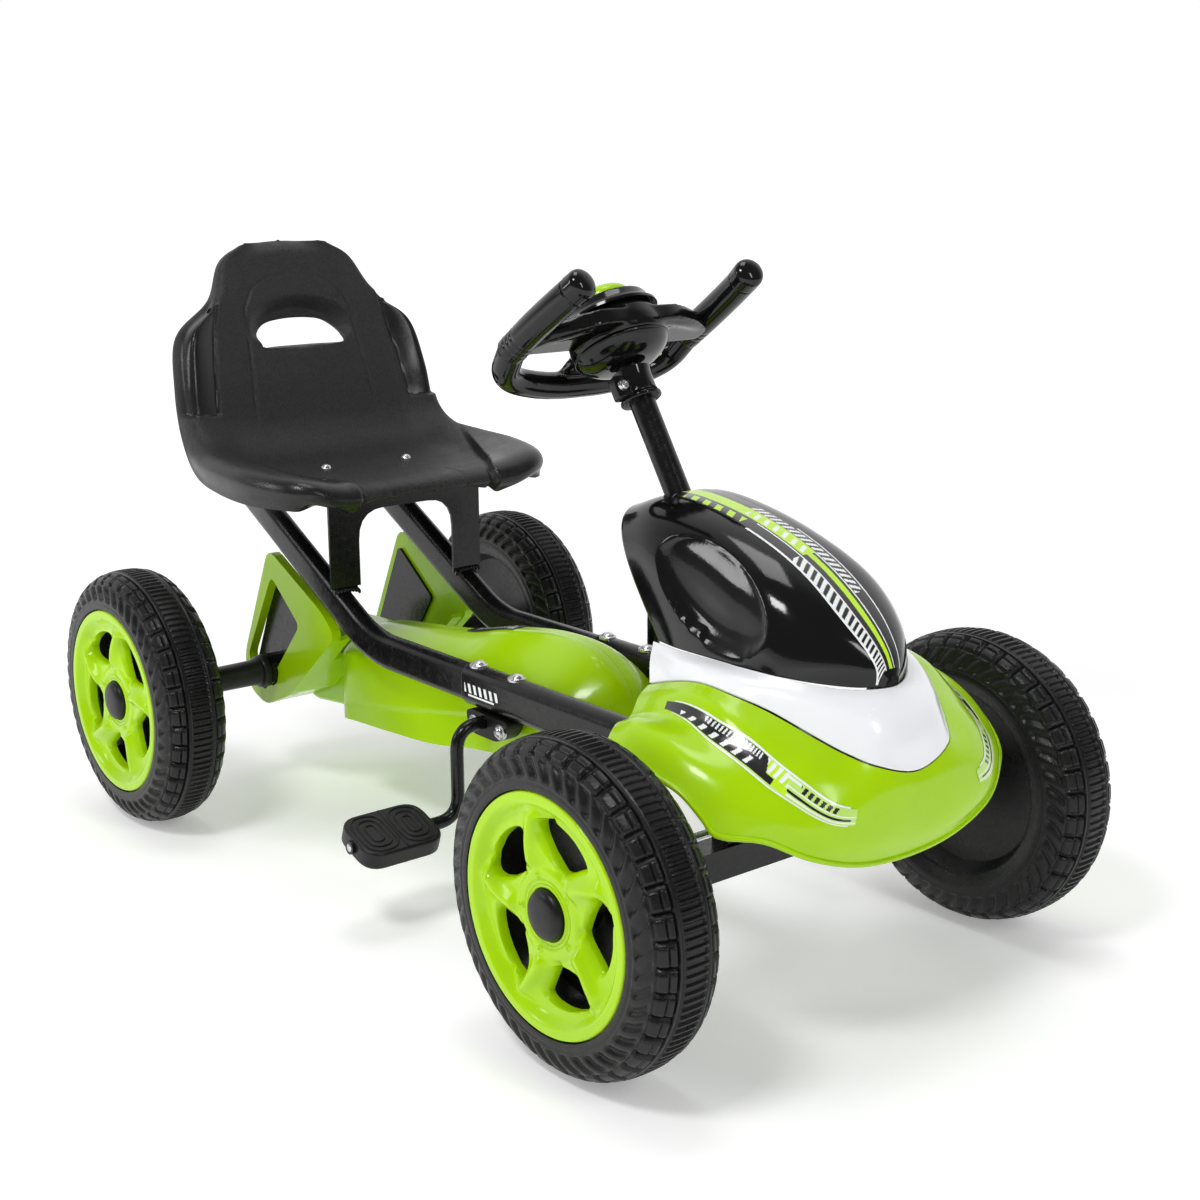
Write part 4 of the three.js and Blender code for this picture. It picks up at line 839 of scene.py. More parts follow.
def smoothed(values, count):
    """count values along a uniform Catmull-Rom curve through a list of numbers."""
    v = np.r_[2 * values[0] - values[1], values, 2 * values[-1] - values[-2]]
    t = np.linspace(0, len(values) - 1, count)
    k = np.minimum(t.astype(int), len(values) - 2)
    u = t - k
    a, b, c, d = v[k], v[k + 1], v[k + 2], v[k + 3]
    curve = 2 * b + (c - a) * u + (2 * a - 5 * b + 4 * c - d) * u * u + (3 * b - a - 3 * c + d) * u ** 3
    return 0.5 * curve


def blurred(values, reach):
    pad = np.pad(values, reach, "reflect", reflect_type="odd")
    return np.convolve(pad, np.ones(2 * reach + 1) / (2 * reach + 1), "valid")


def seat_mesh():
    ribs = np.array(SEAT_RIBS, float)
    spine = np.c_[smoothed(ribs[:, 0], SEAT_ROWS) - AXLE_X, np.zeros(SEAT_ROWS),
                  smoothed(ribs[:, 1], SEAT_ROWS) + AXLE_Z]
    width = blurred(smoothed(ribs[:, 2], SEAT_ROWS), 5)
    lift = blurred(np.maximum(smoothed(ribs[:, 3], SEAT_ROWS), 0), 5)
    tangent = np.gradient(spine, axis=0)
    tangent /= np.linalg.norm(tangent, axis=1, keepdims=True)
    up = np.c_[tangent[:, 2], np.zeros(SEAT_ROWS), -tangent[:, 0]]
    q = np.linspace(0, 1, SEAT_HALF)
    shape_y = np.interp(q, [0, 0.3, 0.52, 0.68, 0.78, 0.86, 0.92, 1],
                        [0, 0.42, 0.68, 0.86, 0.95, 0.99, 1.0, 1.0])
    smooth = np.ones(9) / 9
    shape_y = np.r_[shape_y[:5], np.convolve(shape_y, smooth, "valid"), shape_y[-3:]]
    shape_y = np.interp(np.linspace(0, 1, SEAT_HALF), np.linspace(0, 1, len(shape_y)), shape_y)
    rise = np.interp(q, [0, 0.3, 0.52, 0.68, 0.76, 0.84, 0.90, 1.0], [0, 0, 0.15, 0.85, 1.0, 0.72, 0.25, 0])
    skirt = np.interp(q, [0, 0.78, 0.84, 0.9, 1.0], [0, 0, -0.08, -0.3, -1.0])
    rise = np.convolve(np.pad(rise, 4, "edge"), smooth, "valid")
    skirt = np.convolve(np.pad(skirt, 4, "edge"), smooth, "valid")
    rows = []
    for i in range(SEAT_ROWS):
        hem = 19 * min(1, width[i] / 140)
        height = rise * lift[i] + skirt * hem
        base = spine[i] + height[:, None] * up[i]
        base[:, 1] = shape_y * width[i]
        rows.append(base)
    grid = np.array(rows)
    x, y, z = grid[..., 0], grid[..., 1], grid[..., 2]
    back = step(z, 380, 400)
    pan = 1 - step(z, 352, 372)
    press = np.zeros(x.shape)
    # Raised middle panel of the back, its line arching over the slot.
    line = np.interp(z, [373, 420, 501, 520, 530, 534], [74, 69, 62, 50, 30, 0])
    gap = np.where(z < 534, y - line, 99)
    press -= 1.3 * np.exp(-((gap / 1.8) ** 2)) * back
    press += 1.2 * (1 - step(gap, -3, 1)) * back * (1 - step(z, 500, 536))
    # Hooded pocket round the hand slot.
    inside = np.hypot(y / 66, (z - 478) / np.where(z > 478, 34, 22))
    press -= 15 * (1 - step(inside, 0.60, 1.04)) * back
    # Smooth wing insets, with a crisp lower edge.
    edge = np.interp(z, [397, 440, 470, 502], [113, 108, 102, 95])
    wing = step(y - edge, -1.0, 2.2) * step(z, 397, 400) * (1 - step(z, 500, 516)) * back
    wing *= 1 - step(q, 0.9, 0.97)[None, :]
    press -= 4.6 * wing
    # Thigh bolsters at the front corners, marked off by a crease.
    crease = np.interp(x, [-330, -290, -240, -205, -180, -168], [150, 132, 112, 98, 84, 76])
    bolster = step(y - crease, -2, 6) * pan
    press += 4.4 * bolster * (1 - step(q, 0.86, 0.97)[None, :])
    press -= 2.8 * np.exp(-(((y - crease) / 2.6) ** 2)) * pan
    hollow = np.exp(-((x + 268) / 55) ** 2 - (y / 70) ** 2) * pan
    press -= 2.0 * hollow
    # Tongue between the bolsters over the front lip.
    rib_y = np.abs(y - 44)
    press -= 0.9 * np.exp(-((rib_y / 2.0) ** 2)) * step(x, -212, -196)
    away = np.linalg.norm(np.diff(spine, axis=0), axis=1)
    run = np.r_[0, np.cumsum(away)]
    for edge, depth, reach in ((run, 12, 14), (run[-1] - run, 15, 15)):
        roll = np.clip(1 - edge / reach, 0, 1)
        fade = 1 - step(np.abs(grid[..., 1]) / np.maximum(width[:, None], 1), 0.35, 0.92)
        press -= (roll ** 2.2 * depth)[:, None] * fade
    crown = np.clip((run - run[-1] + 46) / 46, 0, 1)[:, None] ** 2
    grid[..., 2] += 5.0 * crown * (1 - np.minimum(grid[..., 1] / 52, 1) ** 2)
    normal = normals_of(grid)
    facing = np.sign(np.sum(normal * up[:, None, :], axis=-1, keepdims=True))
    facing[facing == 0] = 1
    facing = facing[:, :1]
    grid = grid + normal * facing * press[..., None]
    shiny = np.clip(wing + 0.85 * step(y - crease, 0, 5) * pan, 0, 1)
    whole = np.concatenate([grid[:, ::-1], grid[:, 1:] * np.array([1, -1, 1])], axis=1)
    gloss = np.concatenate([shiny[:, ::-1], shiny[:, 1:]], axis=1)
    return whole, gloss


seat_grid, seat_gloss = seat_mesh()
rows, columns = seat_grid.shape[:2]
seat = mesh_piece("seat_skin", seat_grid.reshape(-1, 3), grid_faces(rows, columns), SEAT, "chassis",
                  ["seat_shell"], attribute=seat_gloss.reshape(-1))
top = max(seat.data.polygons, key=lambda f: -abs(f.center.x + 0.27) - abs(f.center.y))
solidify(seat, SEAT_THICKNESS, -1.0 if top.normal.z > 0 else 1.0)
seat.modifiers["thickness"].use_even_offset = False


def slot_cutter():
    outline = []
    corners = [(-50, 460.8), (-51, 469), (-38, 481), (-18, 485.6), (18, 485.6), (38, 481), (51, 469),
               (50, 460.8),
               (44, 459.2), (0, 458.2), (-44, 459.2)]
    loop = catmull([(y, z, 0) for y, z in corners] + [(corners[0][0], corners[0][1], 0)], 90)[:-1]
    for x in (-455, -365):
        outline += [(x, y, z) for y, z, _ in loop]
    count = len(loop)
    faces = [(j, (j + 1) % count, (j + 1) % count + count, j + count) for j in range(count)]
    faces += [tuple(range(count)), tuple(range(2 * count - 1, count - 1, -1))]
    mesh = bpy.data.meshes.new("slot_cutter")
    mesh.from_pydata((np.array(outline) * MM).tolist(), [], faces)
    work = bmesh.new()
    work.from_mesh(mesh)
    bmesh.ops.recalc_face_normals(work, faces=work.faces)
    work.to_mesh(mesh)
    work.free()
    return bpy.data.objects.new("slot_cutter", mesh)


cutter = slot_cutter()
bpy.context.collection.objects.link(cutter)
m = seat.modifiers.new("slot", "BOOLEAN")
m.object = cutter
m.solver = "EXACT"
settle(seat)
bpy.data.objects.remove(cutter)
seat.data.polygons.foreach_set("use_smooth", [True] * len(seat.data.polygons))
sharpen(seat, 50)


for y in (-48, 48):
    dome = lathe([(0.01, 351.6), (2.4, 351.2), (4.2, 350.2), (5.2, 348.8), (5.6, 347.2), (6.6, 347.0),
                  (6.6, 345.5)], 32)
    dome = dome + np.array([-278, y, 0])
    grid_piece(f"seat_bolt_{'right' if y < 0 else 'left'}", dome, ZINC, "chassis")


# ---------------------------------------------------------------- frame
def dress(node, material, width=0.8, angle=35, segments=3):
    """Material, smooth round faces and small bevels on a CAD node that is shown as it is."""
    o = bpy.data.objects[node]
    o.data.materials.clear()
    o.data.materials.append(material)
    o.data.polygons.foreach_set("use_smooth", [True] * len(o.data.polygons))
    o.data.set_sharp_from_angle(angle=math.radians(angle))
    if width:
        bevel(o, width, segments, angle)
    return o


def stadium(height, width, grow=0.0, count=20):
    r, run = width / 2 + grow, (height - width) / 2
    a = np.linspace(0, math.pi, count)
    top = np.c_[r * np.cos(a), run + r * np.sin(a)]
    return np.vstack([top, -top])


def rounded_outline(corners, radius, steps=8):
    return bend(corners, radius, steps, closed=True)


def slab(outline, low, high):
    """Points (x, y, z) and faces of an outline raised from low to high."""
    n = len(outline)
    points = np.vstack([np.c_[outline, np.full(n, low)], np.c_[outline, np.full(n, high)]])
    faces = [(j, (j + 1) % n, (j + 1) % n + n, j + n) for j in range(n)]
    faces += [tuple(range(n)), tuple(range(2 * n - 1, n - 1, -1))]
    return points, faces


STAY_SLOPE, RAIL_Z, BEND_X, BEND_RADIUS = math.radians(27.7), 191.0, -154.0, 135
RAIL_Y, RAIL_HEIGHT, RAIL_WIDTH = 75, 35, 20
SLEEVE_GROWS = 1.9
BRACKET_X = -207.5


def stay_centre(x):
    return RAIL_Z + (BEND_X - x) * math.tan(STAY_SLOPE)


def rail_path():
    run = BEND_RADIUS * math.tan(STAY_SLOPE / 2)
    points = [(100, RAIL_Z), (20, RAIL_Z), (-60, RAIL_Z)]
    for a in np.linspace(0, STAY_SLOPE, 22):
        points.append((BEND_X + run - BEND_RADIUS * math.sin(a), RAIL_Z + BEND_RADIUS * (1 - math.cos(a))))
    points += [(x, stay_centre(x)) for x in (-260, -320, -383.5, -385)]
    return points


def tube_rows(path, y, shape, shrink):
    grid = sweep([(x, y, z) for x, z in path], lambda t: shape)
    grid[-1] = grid[-1].mean(axis=0) + (grid[-1] - grid[-1].mean(axis=0)) * shrink
    return grid


for label, side in SIDES:
    grid = tube_rows(rail_path(), side * RAIL_Y, stadium(RAIL_HEIGHT, RAIL_WIDTH), 0.93)
    tube_piece(f"rail_{label}", grid, PAINT, "chassis", [f"rear_rail_{label}"], 50)
    rows = []
    for x, grow in ((8, 0.3), (8, 1.1), (8.5, 1.7), (9.4, SLEEVE_GROWS), (120, SLEEVE_GROWS),
                    (240, SLEEVE_GROWS),
                    (336.6, SLEEVE_GROWS), (337.6, 1.6), (338, 0.9), (338, 0.2)):
        shape = stadium(RAIL_HEIGHT, RAIL_WIDTH, grow)
        rows.append(np.c_[np.full(len(shape), x), shape[:, 0] + side * RAIL_Y, shape[:, 1] + RAIL_Z])
    tube_piece(f"sleeve_{label}", np.array(rows), PAINT, "chassis", [f"front_rail_{label}"], 60)
    for k, x in enumerate((20, 77)):
        profile = [(0.01, 214.6), (2.6, 214.3), (4.8, 213.2), (6.1, 211.9), (6.4, 211.1), (8.0, 211.0),
                   (8.2, 210.6), (8.2, 208.5)]
        grid = lathe(profile, 40) + np.array([x, side * RAIL_Y, 0])
        grid_piece(f"bolt_{label}_{k + 1}", grid, ZINC, "chassis", [f"rail_bolt_{label}_{k + 1}"])

    # Weld beads where the seat bracket stands on the stays.
    foot = stay_centre(BRACKET_X) + RAIL_HEIGHT / 2 / math.cos(STAY_SLOPE)
    for edge, offset in (("front", 2.2), ("rear", -2.2)):
        y = np.linspace(58, 87, 60)
        wave = 0.35 * np.sin(np.arange(60) * 0.9)
        path = np.c_[np.full(60, BRACKET_X + offset), side * y,
                     np.full(60, foot - offset * math.tan(STAY_SLOPE) - 0.2)]
        grid = sweep(path, circle(2.2, 12), up=(0, 0, 1))
        grid += (grid - path[:, None]) * wave[:, None, None]
        fall = np.clip((np.abs(path[:, 1] - side * RAIL_Y) - 8) / 12, 0, 1) ** 2 * 5.5
        grid[..., 2] -= fall[:, None]
        tube_piece(f"weld_{edge}_{label}", grid, PAINT, "chassis")

for node, material, width, angle in (
    ("seat_bracket", PAINT, 0.9, 30), ("rear_seat_strap", PAINT, 0.8, 30),
                                     ("front_axle_beam", PAINT, 1.4, 30),
    ("steering_column_bearing", PAINT, 1.0, 30), ("drive_chain", ZINC, 0.5, 50), ("chainring", ZINC, 0.3, 50),
    ("rear_sprocket", ZINC, 0.3, 50), ("rear_axle", ZINC, 0.8, 50),
):
    dress(node, material, width, angle)
for label, _ in SIDES:
    dress(f"knuckle_{label}", PAINT, 0.8, 40)
    dress(f"tie_rod_{label}", ZINC, 0.4, 50)
    dress(f"bearing_plate_{label}", PAINT, 0.6, 40)
    dress(f"crank_bracket_{label}", SATIN, 2.2, 30, 4)
    dress(f"rear_fin_{label}", LIME, 2.6, 30, 5)


def turned_y(name, profile, x, z, material, body, node=(), side=-1, count=56, wrap=True):
    """A piece turned about the Y axis through (x, z): profile is (radius, distance from the centre plane)."""
    grid = lathe(profile, count)
    grid = np.stack([grid[..., 0] + x, grid[..., 2] * side, grid[..., 1] + z], axis=-1)
    return grid_piece(name, grid, material, body, node, 50, wrap)


SPACER = [(6.7, 92), (16.6, 92), (17.2, 92.8), (17.2, 99), (16.4, 100.4), (14.3, 101.2), (13.4, 112),
          (13.0, 160), (13.4, 188),
          (15.0, 189), (15.4, 190), (15.4, 195.4), (14.6, 196), (6.7, 196)]
BOLT_Y = [(0.01, 91.2), (2.4, 90.9), (4.4, 90), (5.4, 88.6), (5.6, 87.6), (7, 87.4), (7, 84), (0.01, 84)]
for label, side in SIDES:
    turned_y(f"spacer_{label}", SPACER, -AXLE_X, AXLE_Z, SATIN, "rear_axle", [f"axle_spacer_{label}"], side)
    for place, x in (("front", 66), ("rear", 27)):
        turned_y(f"crank_bolt_{place}_{label}", BOLT_Y, x, 160.5, ZINC, "chassis", (), side, 32, False)


# ---------------------------------------------------------------- chain cover
# Stations of the chain cover: x, then top, shoulder and lower edge above the axle, then share of the full
# width.
COVER = np.array([(-252, 58, 42, -35, 1), (-83, 81, 56, -22, 1), (-30, 94, 62, -12, 1), (43, 104, 66, -1, 1),
                  (100, 101, 66, 7, 0.97), (125, 89, 62, 11, 0.77), (140, 76, 56, 14, 0.5),
                  (149, 60, 50, 16, 0.2)], float)


def soften(line, times):
    """Cuts the corners of an open line, keeping its ends."""
    line = np.asarray(line, float)
    for _ in range(times):
        a, b = line[:-1], line[1:]
        cut = np.stack([a * 0.75 + b * 0.25, a * 0.25 + b * 0.75], axis=1).reshape(-1, 2)
        line = np.vstack([line[:1], cut[1:-1], line[-1:]])
    return line


def even(line, count):
    length = np.r_[0, np.cumsum(np.linalg.norm(np.diff(line, axis=0), axis=1))]
    marks = np.linspace(0, length[-1], count)
    return np.c_[np.interp(marks, length, line[:, 0]), np.interp(marks, length, line[:, 1])]


def cover_rows(side):
    stations = catmull(COVER, 130)
    rows = []
    for x, squeeze, drop in ((-252, 0.66, 13), (-251.4, 0.78, 8.5), (-249.6, 0.88, 4.6), (-246.5, 0.95, 2),
                             (-241.5, 0.99, 0.5)):
        rows.append(cover_row(x, *[np.interp(x, stations[:, 0], stations[:, k]) for k in (1, 2, 3, 4)],
                              squeeze, drop, side))
    for x, top, shoulder, bottom, share in stations:
        if x > -238:
            rows.append(cover_row(x, top, shoulder, bottom, share, 1, 0, side))
    last = stations[-1]
    rows.append(cover_row(151, last[1] - 4, last[2] - 2, last[3] + 2, 0.1, 1, 0, side))
    return np.array(rows)


def cover_row(x, top, shoulder, bottom, share, squeeze, drop, side):
    w = 60 * share * squeeze
    dome = min(14.0, w * 0.4)
    line = [(0.15, top - drop - 0.5), (dome, top - drop), (max(w * 0.93, 0.6), shoulder - drop * 0.6),
            (max(w, 0.7), shoulder - 16 * min(1, share + 0.3)), (max(w, 0.7), bottom)]
    line = even(soften(line, 4), 80)
    crease = 25 + (x + 9) * (45 / 231)
    sunk = 1.6 * (1 - step(line[:, 1], crease - 2.2, crease + 2.2)) * (line[:, 0] > w * 0.9) * step(x, -249,
                                                                                                    -225) * (
        1 - step(x, -12, 20))
    y = np.maximum(line[:, 0] - sunk, 0.15)
    return np.c_[np.full(len(line), x), side * y, line[:, 1] + AXLE_Z]


for label, side in SIDES:
    grid = cover_rows(side)
    rows, columns = grid.shape[:2]
    points, faces = list(grid.reshape(-1, 3)), grid_faces(rows, columns)
    for row, at in ((0, 0), (rows - 1, 1)):
        centre = len(points)
        points.append(grid[row].mean(axis=0) * np.array([1, 0, 1]) + np.array([0, side * 0.15, 0]))
        faces += [(row * columns + j, row * columns + j + 1, centre) for j in range(columns - 1)]
    piece = mesh_piece(f"cover_{label}", points, faces, LIME, "chassis", [f"chain_cover_{label}"])
    face = max(piece.data.polygons, key=lambda f: f.center.z)
    solidify(piece, 2.4, -1.0 if face.normal.z > 0 else 1.0)
    settle(piece)
    sharpen(piece, 60)
    outline = [(-248, 178), (-346, 173)]
    outline += [(-346 - 45 * math.sin(a), 128 + 45 * math.cos(a)) for a in np.linspace(0.08, math.pi - 0.08,
                                                                                       40)]
    outline += [(-346, 83), (-248, 94)]
    points, faces = slab(np.array(outline), 0.2, 30)
    points = np.c_[points[:, 0], points[:, 2] * side, points[:, 1]]
    lobe = mesh_piece(f"cover_lobe_{label}", points, faces, LIME, "chassis")
    bevel(lobe, 6, 5, 50)
    settle(lobe)


def badge_surface(u, w):
    x = -92 + 74 * u
    y = -9 + 18 * w
    top = np.interp(x, COVER[:, 0], COVER[:, 1]) + AXLE_Z
    return np.stack([x, y, top + 1.2 - (y / 9) ** 2 * 0.4], axis=-1)


def badge_pattern(u, w):
    if 0.28 < w < 0.72 and 0.1 < u < 0.9:
        return WHITE_INK if (u * 12 + w * 1.1) % 1 < 0.45 else BLACK_INK
    return BLACK_INK


badge = strip("cover_badge", badge_surface, 80, 16, badge_pattern)
solidify(badge, 0.9, -1.0 if badge.data.polygons[0].normal.z > 0 else 1.0)


def rail_mark(u, w):
    return np.stack([14 + 56 * u, np.full(u.shape, -87.2), 183.8 + 14.4 * w], axis=-1)


def mark_pattern(u, w):
    if (w < 0.14 or w > 0.86) and u < 0.97:
        return WHITE_INK if w < 0.14 and 0.1 < u < 0.8 else None
    return WHITE_INK if 0.22 < w < 0.80 and (u * 7 + w * 0.5) % 1 < 0.5 and u < 0.9 else None


strip("rail_mark", rail_mark, 120, 24, mark_pattern)


# ---------------------------------------------------------------- steering wheel
def wheel_slab(outline, low, high):
    points, faces = slab(np.asarray(outline, float), low, high)
    return on_column(points), faces


def merged(parts):
    points, faces = [], []
    for p, f in parts:
        start = len(points)
        points += list(p)
        faces += [tuple(i + start for i in face) for face in f]
    return points, faces


GRIP_Y = 96
bar = bend([(-18, GRIP_Y, 13.2), (-52, 90, 4), (-66, 36, -2), (-66, -36, -2), (-52, -90, 4),
            (-18, -GRIP_Y, 13.2)], 26, 14)
bar_grid = on_column(sweep(bar, circle(12, 28), up=(0, 0, 1)))
arms = rounded_outline([(-8, -96), (-8, 96), (8, 97), (28, 66), (40, 42), (40, -42), (28, -66), (8, -97)], 14,
                       8)
spoke = rounded_outline([(-62, -22), (-62, 22), (0, 34), (0, -34)], 8, 6)
hub = [(0.01, -4), (40, -4), (43, 2), (42.5, 10), (40, 20), (36, 25), (0.01, 26)]
hub_grid = on_column(lathe(hub, 60))
parts = [tube_mesh(bar_grid), wheel_slab(arms, 2, 16), wheel_slab(spoke, 0, 10), tube_mesh(hub_grid)]
fore = [(-14, GRIP_Y - 1, 13.2), (6, 86, 11), (22, 62, 9), (30, 34, 9), (32, 0, 9)]
for flip in (1, -1):
    path = catmull([(u, y * flip, h) for u, y, h in fore], 40)
    spread = np.interp(np.linspace(0, 1, 40), [0, 0.3, 0.6, 1], [10.5, 8.5, 8.5, 8])
    ribbon = []
    for k, row in enumerate(sweep(path, circle(1, 24), up=(0, 0, 1))):
        ribbon.append(path[k] + (row - path[k]) * spread[k])
    parts.append(tube_mesh(on_column(np.array(ribbon))))
points, faces = merged(parts)
wheel = mesh_piece("steering_wheel_body", points, faces, GLOSS, "steering", ["steering_wheel"])
m = wheel.modifiers.new("blend", "REMESH")
m.mode = "VOXEL"
m.voxel_size = 1.5 * MM
m.use_smooth_shade = True
m = wheel.modifiers.new("soften", "SMOOTH")
m.iterations = 14
m.factor = 0.5
settle(wheel)


GRIP_RADIUS = 12.7


def grip(side):
    """A sleeve with three rings at its foot, and a bead before its rounded end."""
    y = side * GRIP_Y
    line = catmull([(-19.7, y, 13), (20, y, 14.4), (60, y - side * 3, 15.4), (82, y - side * 6.5, 16.2),
                    (90, y - side * 8, 16.4)], 160)
    length = np.r_[0, np.cumsum(np.linalg.norm(np.diff(line, axis=0), axis=1))]
    s, total = length, length[-1]
    radius = np.full(160, GRIP_RADIUS)
    end = np.clip((s - (total - 9)) / 9, 0, 1)
    radius = radius * np.sqrt(np.maximum(1 - end ** 2.4, 0.0004))
    radius -= 0.75 * window(s, total - 19.5, total - 18, 0.7)
    radius += 0.45 * step(s, total - 18, total - 17) * (end < 1)
    for at in (9, 15, 21):
        radius -= 0.7 * np.exp(-(((s - at) / 1.1) ** 2))
    grid = sweep(line, circle(1, 48), up=(0, 0, 1))
    grid = line[:, None] + (grid - line[:, None]) * radius[:, None, None]
    return on_column(grid)


for label, side in SIDES:
    tube_piece(f"grip_sleeve_{label}", grip(side), GLOSS, "steering", [f"grip_{label}"])


def column_turned(name, profile, material, body, node=(), wrap=False, angle=45):
    return grid_piece(name, on_column(lathe(profile, 72)), material, body, node, angle, wrap)


boss = catmull([(15.8, -21), (24, -19.6), (32, -15.8), (38.4, -10.4), (41.4, -6)], 24)
column_turned("boss_dome", [(0.01, -21.2)] + [tuple(p) for p in boss] + [(42, -4.4), (0.01, -4.4)], GLOSS,
              "steering", ["wheel_boss"])
column_turned("boss_edge",
              [(41.6 + 1.0 * math.cos(a), -4.6 + 1.0 * math.sin(a)) for a in np.linspace(0, 2 * math.pi,
                                                                                         13)[:-1]],
              GLOSS, "steering", wrap=True, angle=80)
column_turned("horn_collar",
              [(25.2, 24), (42.5, 24), (42.2, 26.4), (39, 28.4), (37.2, 30.6), (36.4, 34.6), (34.8, 36.8),
               (26.6, 37.2),
                                (25.5, 36.4)],
              GLOSS, "steering", ["horn_ring"], wrap=True)
button = catmull([(0.01, 53), (8, 52.5), (15.5, 50.6), (20.8, 47.6), (23.8, 43.6), (24.4, 39.5)], 28)
column_turned("horn_cap", [tuple(p) for p in button] + [(24.4, 33.2), (0.01, 33.2)], LIME, "horn",
              ["horn_button"])
column_turned("collar_band",
              [(11.3, -52.4), (17.2, -52.4), (18, -51.6), (18, -49.4), (16.6, -48), (15.9, -45), (15.8, -31),
                              (16.8, -27), (17, -25.4), (11.3, -25.2)], GLOSS, "steering",
              ["column_collar"], wrap=True)
points, faces = wheel_slab(rounded_outline([(-6.5, -24.5), (-6.5, -9), (6.5, -9), (6.5, -24.5)], 4), -49,
                           -29.5)
bevel(mesh_piece("collar_ear", points, faces, GLOSS, "steering"), 1.6, 4, 40)
profile = [(0.01, 9.0), (2.2, 9.0), (2.6, 9.8), (4.0, 9.6), (4.8, 8.6), (5.0, 6.2), (0.01, 6.2)]
grid = lathe(profile, 36)
grid = on_column(np.stack([grid[..., 2], grid[..., 0] - 19, grid[..., 1] - 39], axis=-1))
grid_piece("collar_screw", grid, ZINC, "steering", ["collar_bolt"], 50)
column_turned("column_tube", [(9.4, -395.6), (11, -395.6), (11, -21.6), (9.4, -21.6)], PAINT, "steering",
              ["steering_column"], wrap=True)
points, faces = wheel_slab(rounded_outline([(14, -10), (14, 10), (-50, 16), (-50, -16)], 7), -396, -392)
bevel(mesh_piece("pitman_arm", points, faces, PAINT, "steering"), 0.8, 3, 40)

# ---------------------------------------------------------------- crank and pedals
CRANK_X, CRANK_Z, CRANK_ARM = 40.0, 163.5, 83
PEDAL_Y, PEDAL_TILT = 146, math.radians(20)
half = [(0, 115, 0), (0, 115, CRANK_ARM), (0, 229, CRANK_ARM)]
rod = bend([(x, -y, -z) for x, y, z in half[::-1]] + half, 22, 14) + np.array([CRANK_X, 0, CRANK_Z])
tube_piece("crank_bent_rod", sweep(rod, circle(6, 32), up=(1, 0, 0)), PAINT, "crank", ["crank_rod"], 60)


def pedal_place(points, side):
    """Pedal coordinates (x across, y out, z up) moved onto its spindle."""
    p = np.asarray(points, float)
    x = p[..., 0] * math.cos(PEDAL_TILT) + p[..., 2] * math.sin(PEDAL_TILT)
    z = -p[..., 0] * math.sin(PEDAL_TILT) + p[..., 2] * math.cos(PEDAL_TILT)
    return np.stack([x + CRANK_X, side * (p[..., 1] + PEDAL_Y), z + CRANK_Z + side * CRANK_ARM], axis=-1)


def rib_loop(cx, cy, long, short):
    corners = [(cx - long, cy - short), (cx + long, cy - short), (cx + long, cy + short),
               (cx - long, cy + short)]
    return rounded_outline(corners, short * 0.98, 9)


for label, side in SIDES:
    outline = rounded_outline([(-28, 0), (-28, 80), (28, 80), (28, 0)], 19, 12)
    points, faces = slab(outline, -8.6, 8.6)
    block = mesh_piece(f"pedal_block_{label}", pedal_place(points, side), faces, SATIN, f"pedal_{label}",
                       [f"pedal_{label}"])
    bevel(block, 2.6, 5, 40)
    parts = []
    for face_z in (8.6, -8.6):
        for cy in (21, 59):
            for long, short in ((23.5, 15.5), (17.5, 10.4), (11, 5)):
                loop = rib_loop(0, cy, long, short)
                path = np.c_[loop, np.full(len(loop), face_z)]
                parts.append(tube_mesh(pedal_place(sweep(path, circle(1.25, 10), up=(0, 0, 1), closed=True),
                                                   side), closed=True))
        line = np.c_[np.linspace(-26, 26, 12), np.full(12, 40.0), np.full(12, face_z)]
        parts.append(tube_mesh(pedal_place(sweep(line, circle(0.9, 10), up=(0, 0, 1)), side)))
    points, faces = merged(parts)
    mesh_piece(f"pedal_ribs_{label}", points, faces, SATIN, f"pedal_{label}")
    turned_y(f"pedal_end_{label}", [(0.01, 229.6), (3.2, 229.2), (5.0, 227.8), (5.6, 225.6), (0.01, 225.6)],
             CRANK_X,
             CRANK_Z + side * CRANK_ARM, ZINC, f"pedal_{label}", (), side, 32, False)


# ---------------------------------------------------------------- studio
FLOOR_HALF = 30.0
# Name, place, aim, size, power, and whether the lamp shows in glossy surfaces. Metres and watts.
LAMPS = (
    ("key", (0.5, -1.5, 2.4), (0, 0, 0.2), (0.7, 0.45), 24, True),
    ("front", (2.4, 0.2, 1.7), (0.2, 0, 0.25), (0.3, 1.0), 11, True),
    ("side", (-1.3, -2.0, 1.2), (-0.1, 0, 0.25), (0.3, 0.8), 7, True),
    ("top", (-0.1, 0.1, 2.7), (0, 0, 0), (0.9, 0.9), 12, True),
    ("fill", (1.9, -2.3, 0.9), (0, 0, 0.25), (1.6, 1.2), 15, False),
    ("fill_side", (-1.2, -2.6, 0.7), (-0.1, 0, 0.2), (1.4, 1.0), 12, False),
)


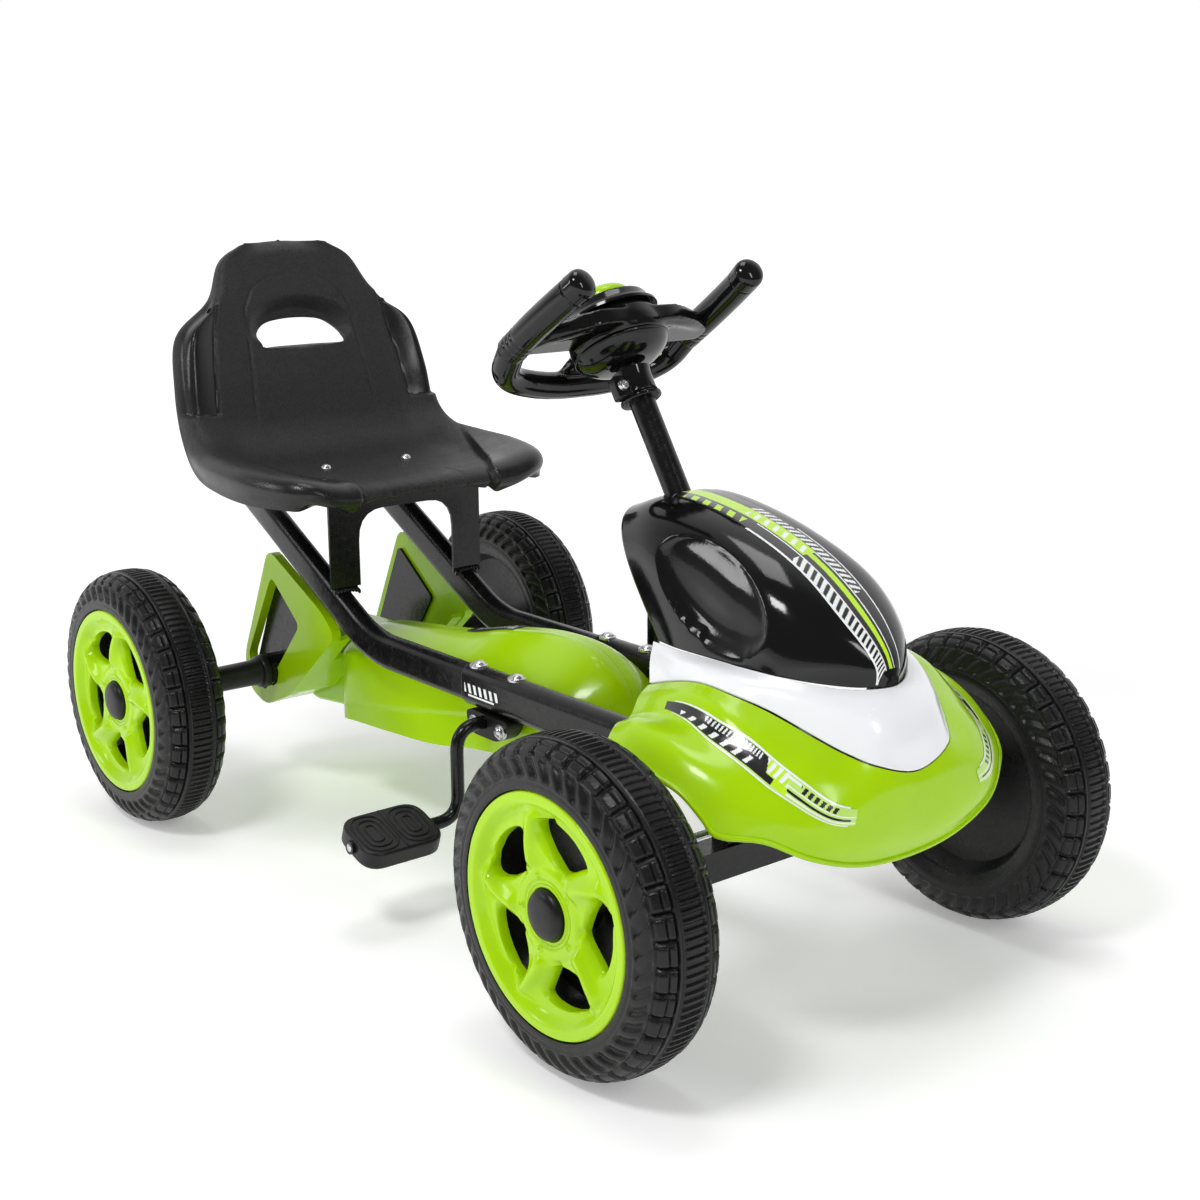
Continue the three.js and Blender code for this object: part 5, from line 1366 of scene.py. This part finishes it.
def studio():
    floor_mesh = bpy.data.meshes.new("floor")
    size = FLOOR_HALF
    floor_mesh.from_pydata([(-size, -size, 0), (size, -size, 0), (size, size, 0), (-size, size, 0)], [],
                           [(0, 1, 2, 3)])
    floor = bpy.data.objects.new("floor", floor_mesh)
    bpy.context.collection.objects.link(floor)
    m = Nodes("floor", (0.93, 0.93, 0.93), 0.9, specular=0.1)
    m.vary(m.noise(3), 0.995, 1.005)
    m.shader.inputs["Emission Color"].default_value = (1, 1, 1, 1)
    far = m.tree.nodes.new("ShaderNodeVectorMath")
    far.operation = "LENGTH"
    m.link(m.place, far.inputs[0])
    m.link(m.ramp(far.outputs["Value"], 0.9, 2.6, 0.24, 0.66), m.shader.inputs["Emission Strength"])
    floor_mesh.materials.append(m.material)
    # The world is brightest behind the kart and dimmer behind the viewer, so that black plastic stays black.
    world = bpy.data.worlds.new("world")
    world.use_nodes = True
    tree = world.node_tree
    background = tree.nodes["Background"]
    place = tree.nodes.new("ShaderNodeTexCoord").outputs["Generated"]
    ahead = tree.nodes.new("ShaderNodeVectorMath")
    ahead.operation = "DOT_PRODUCT"
    ahead.inputs[1].default_value = (-0.777, 0.63, 0)
    tree.links.new(place, ahead.inputs[0])
    shade = tree.nodes.new("ShaderNodeMapRange")
    for key, value in (("From Min", -0.1), ("From Max", 0.62), ("To Min", 0.16), ("To Max", 1.0)):
        shade.inputs[key].default_value = value
    shade.interpolation_type = "SMOOTHSTEP"
    tree.links.new(ahead.outputs["Value"], shade.inputs["Value"])
    tree.links.new(shade.outputs["Result"], background.inputs["Strength"])
    background.inputs["Color"].default_value = (1.0, 1.0, 1.0, 1)
    bpy.context.scene.world = world
    for name, place, aim, size_xy, power, mirrored in LAMPS:
        lamp = bpy.data.lights.new(name, "AREA")
        lamp.shape = "RECTANGLE"
        lamp.size, lamp.size_y = size_xy
        lamp.energy = power
        holder = bpy.data.objects.new(name, lamp)
        holder.location = place
        holder.visible_glossy = mirrored
        holder.rotation_euler = (Vector(aim) - Vector(place)).to_track_quat("-Z", "Y").to_euler()
        bpy.context.collection.objects.link(holder)


def camera():
    """The photo's viewpoint: its angles, lens and place were fitted to the wheels' outlines."""
    azimuth, elevation, roll = math.radians(50.95), math.radians(14.12), math.radians(-0.38)
    back = Vector((math.sin(azimuth) * math.cos(elevation), -math.cos(azimuth) * math.cos(elevation),
                   math.sin(elevation)))
    right = Vector((math.cos(azimuth), math.sin(azimuth), 0))
    up = back.cross(right)
    turned = right * math.cos(roll) + up * math.sin(roll)
    upright = up * math.cos(roll) - right * math.sin(roll)
    data = bpy.data.cameras.new("camera")
    data.lens, data.sensor_width = 54.467, 36.0
    data.shift_x, data.shift_y = 0.0044, 0.0062
    holder = bpy.data.objects.new("camera", data)
    matrix = Matrix((turned, upright, back)).transposed().to_4x4()
    matrix.translation = Vector((1.30266, -0.98123, 0.65679))
    holder.matrix_world = matrix
    bpy.context.collection.objects.link(holder)
    bpy.context.scene.camera = holder


studio()
camera()
bpy.context.scene.view_settings.view_transform = "Standard"
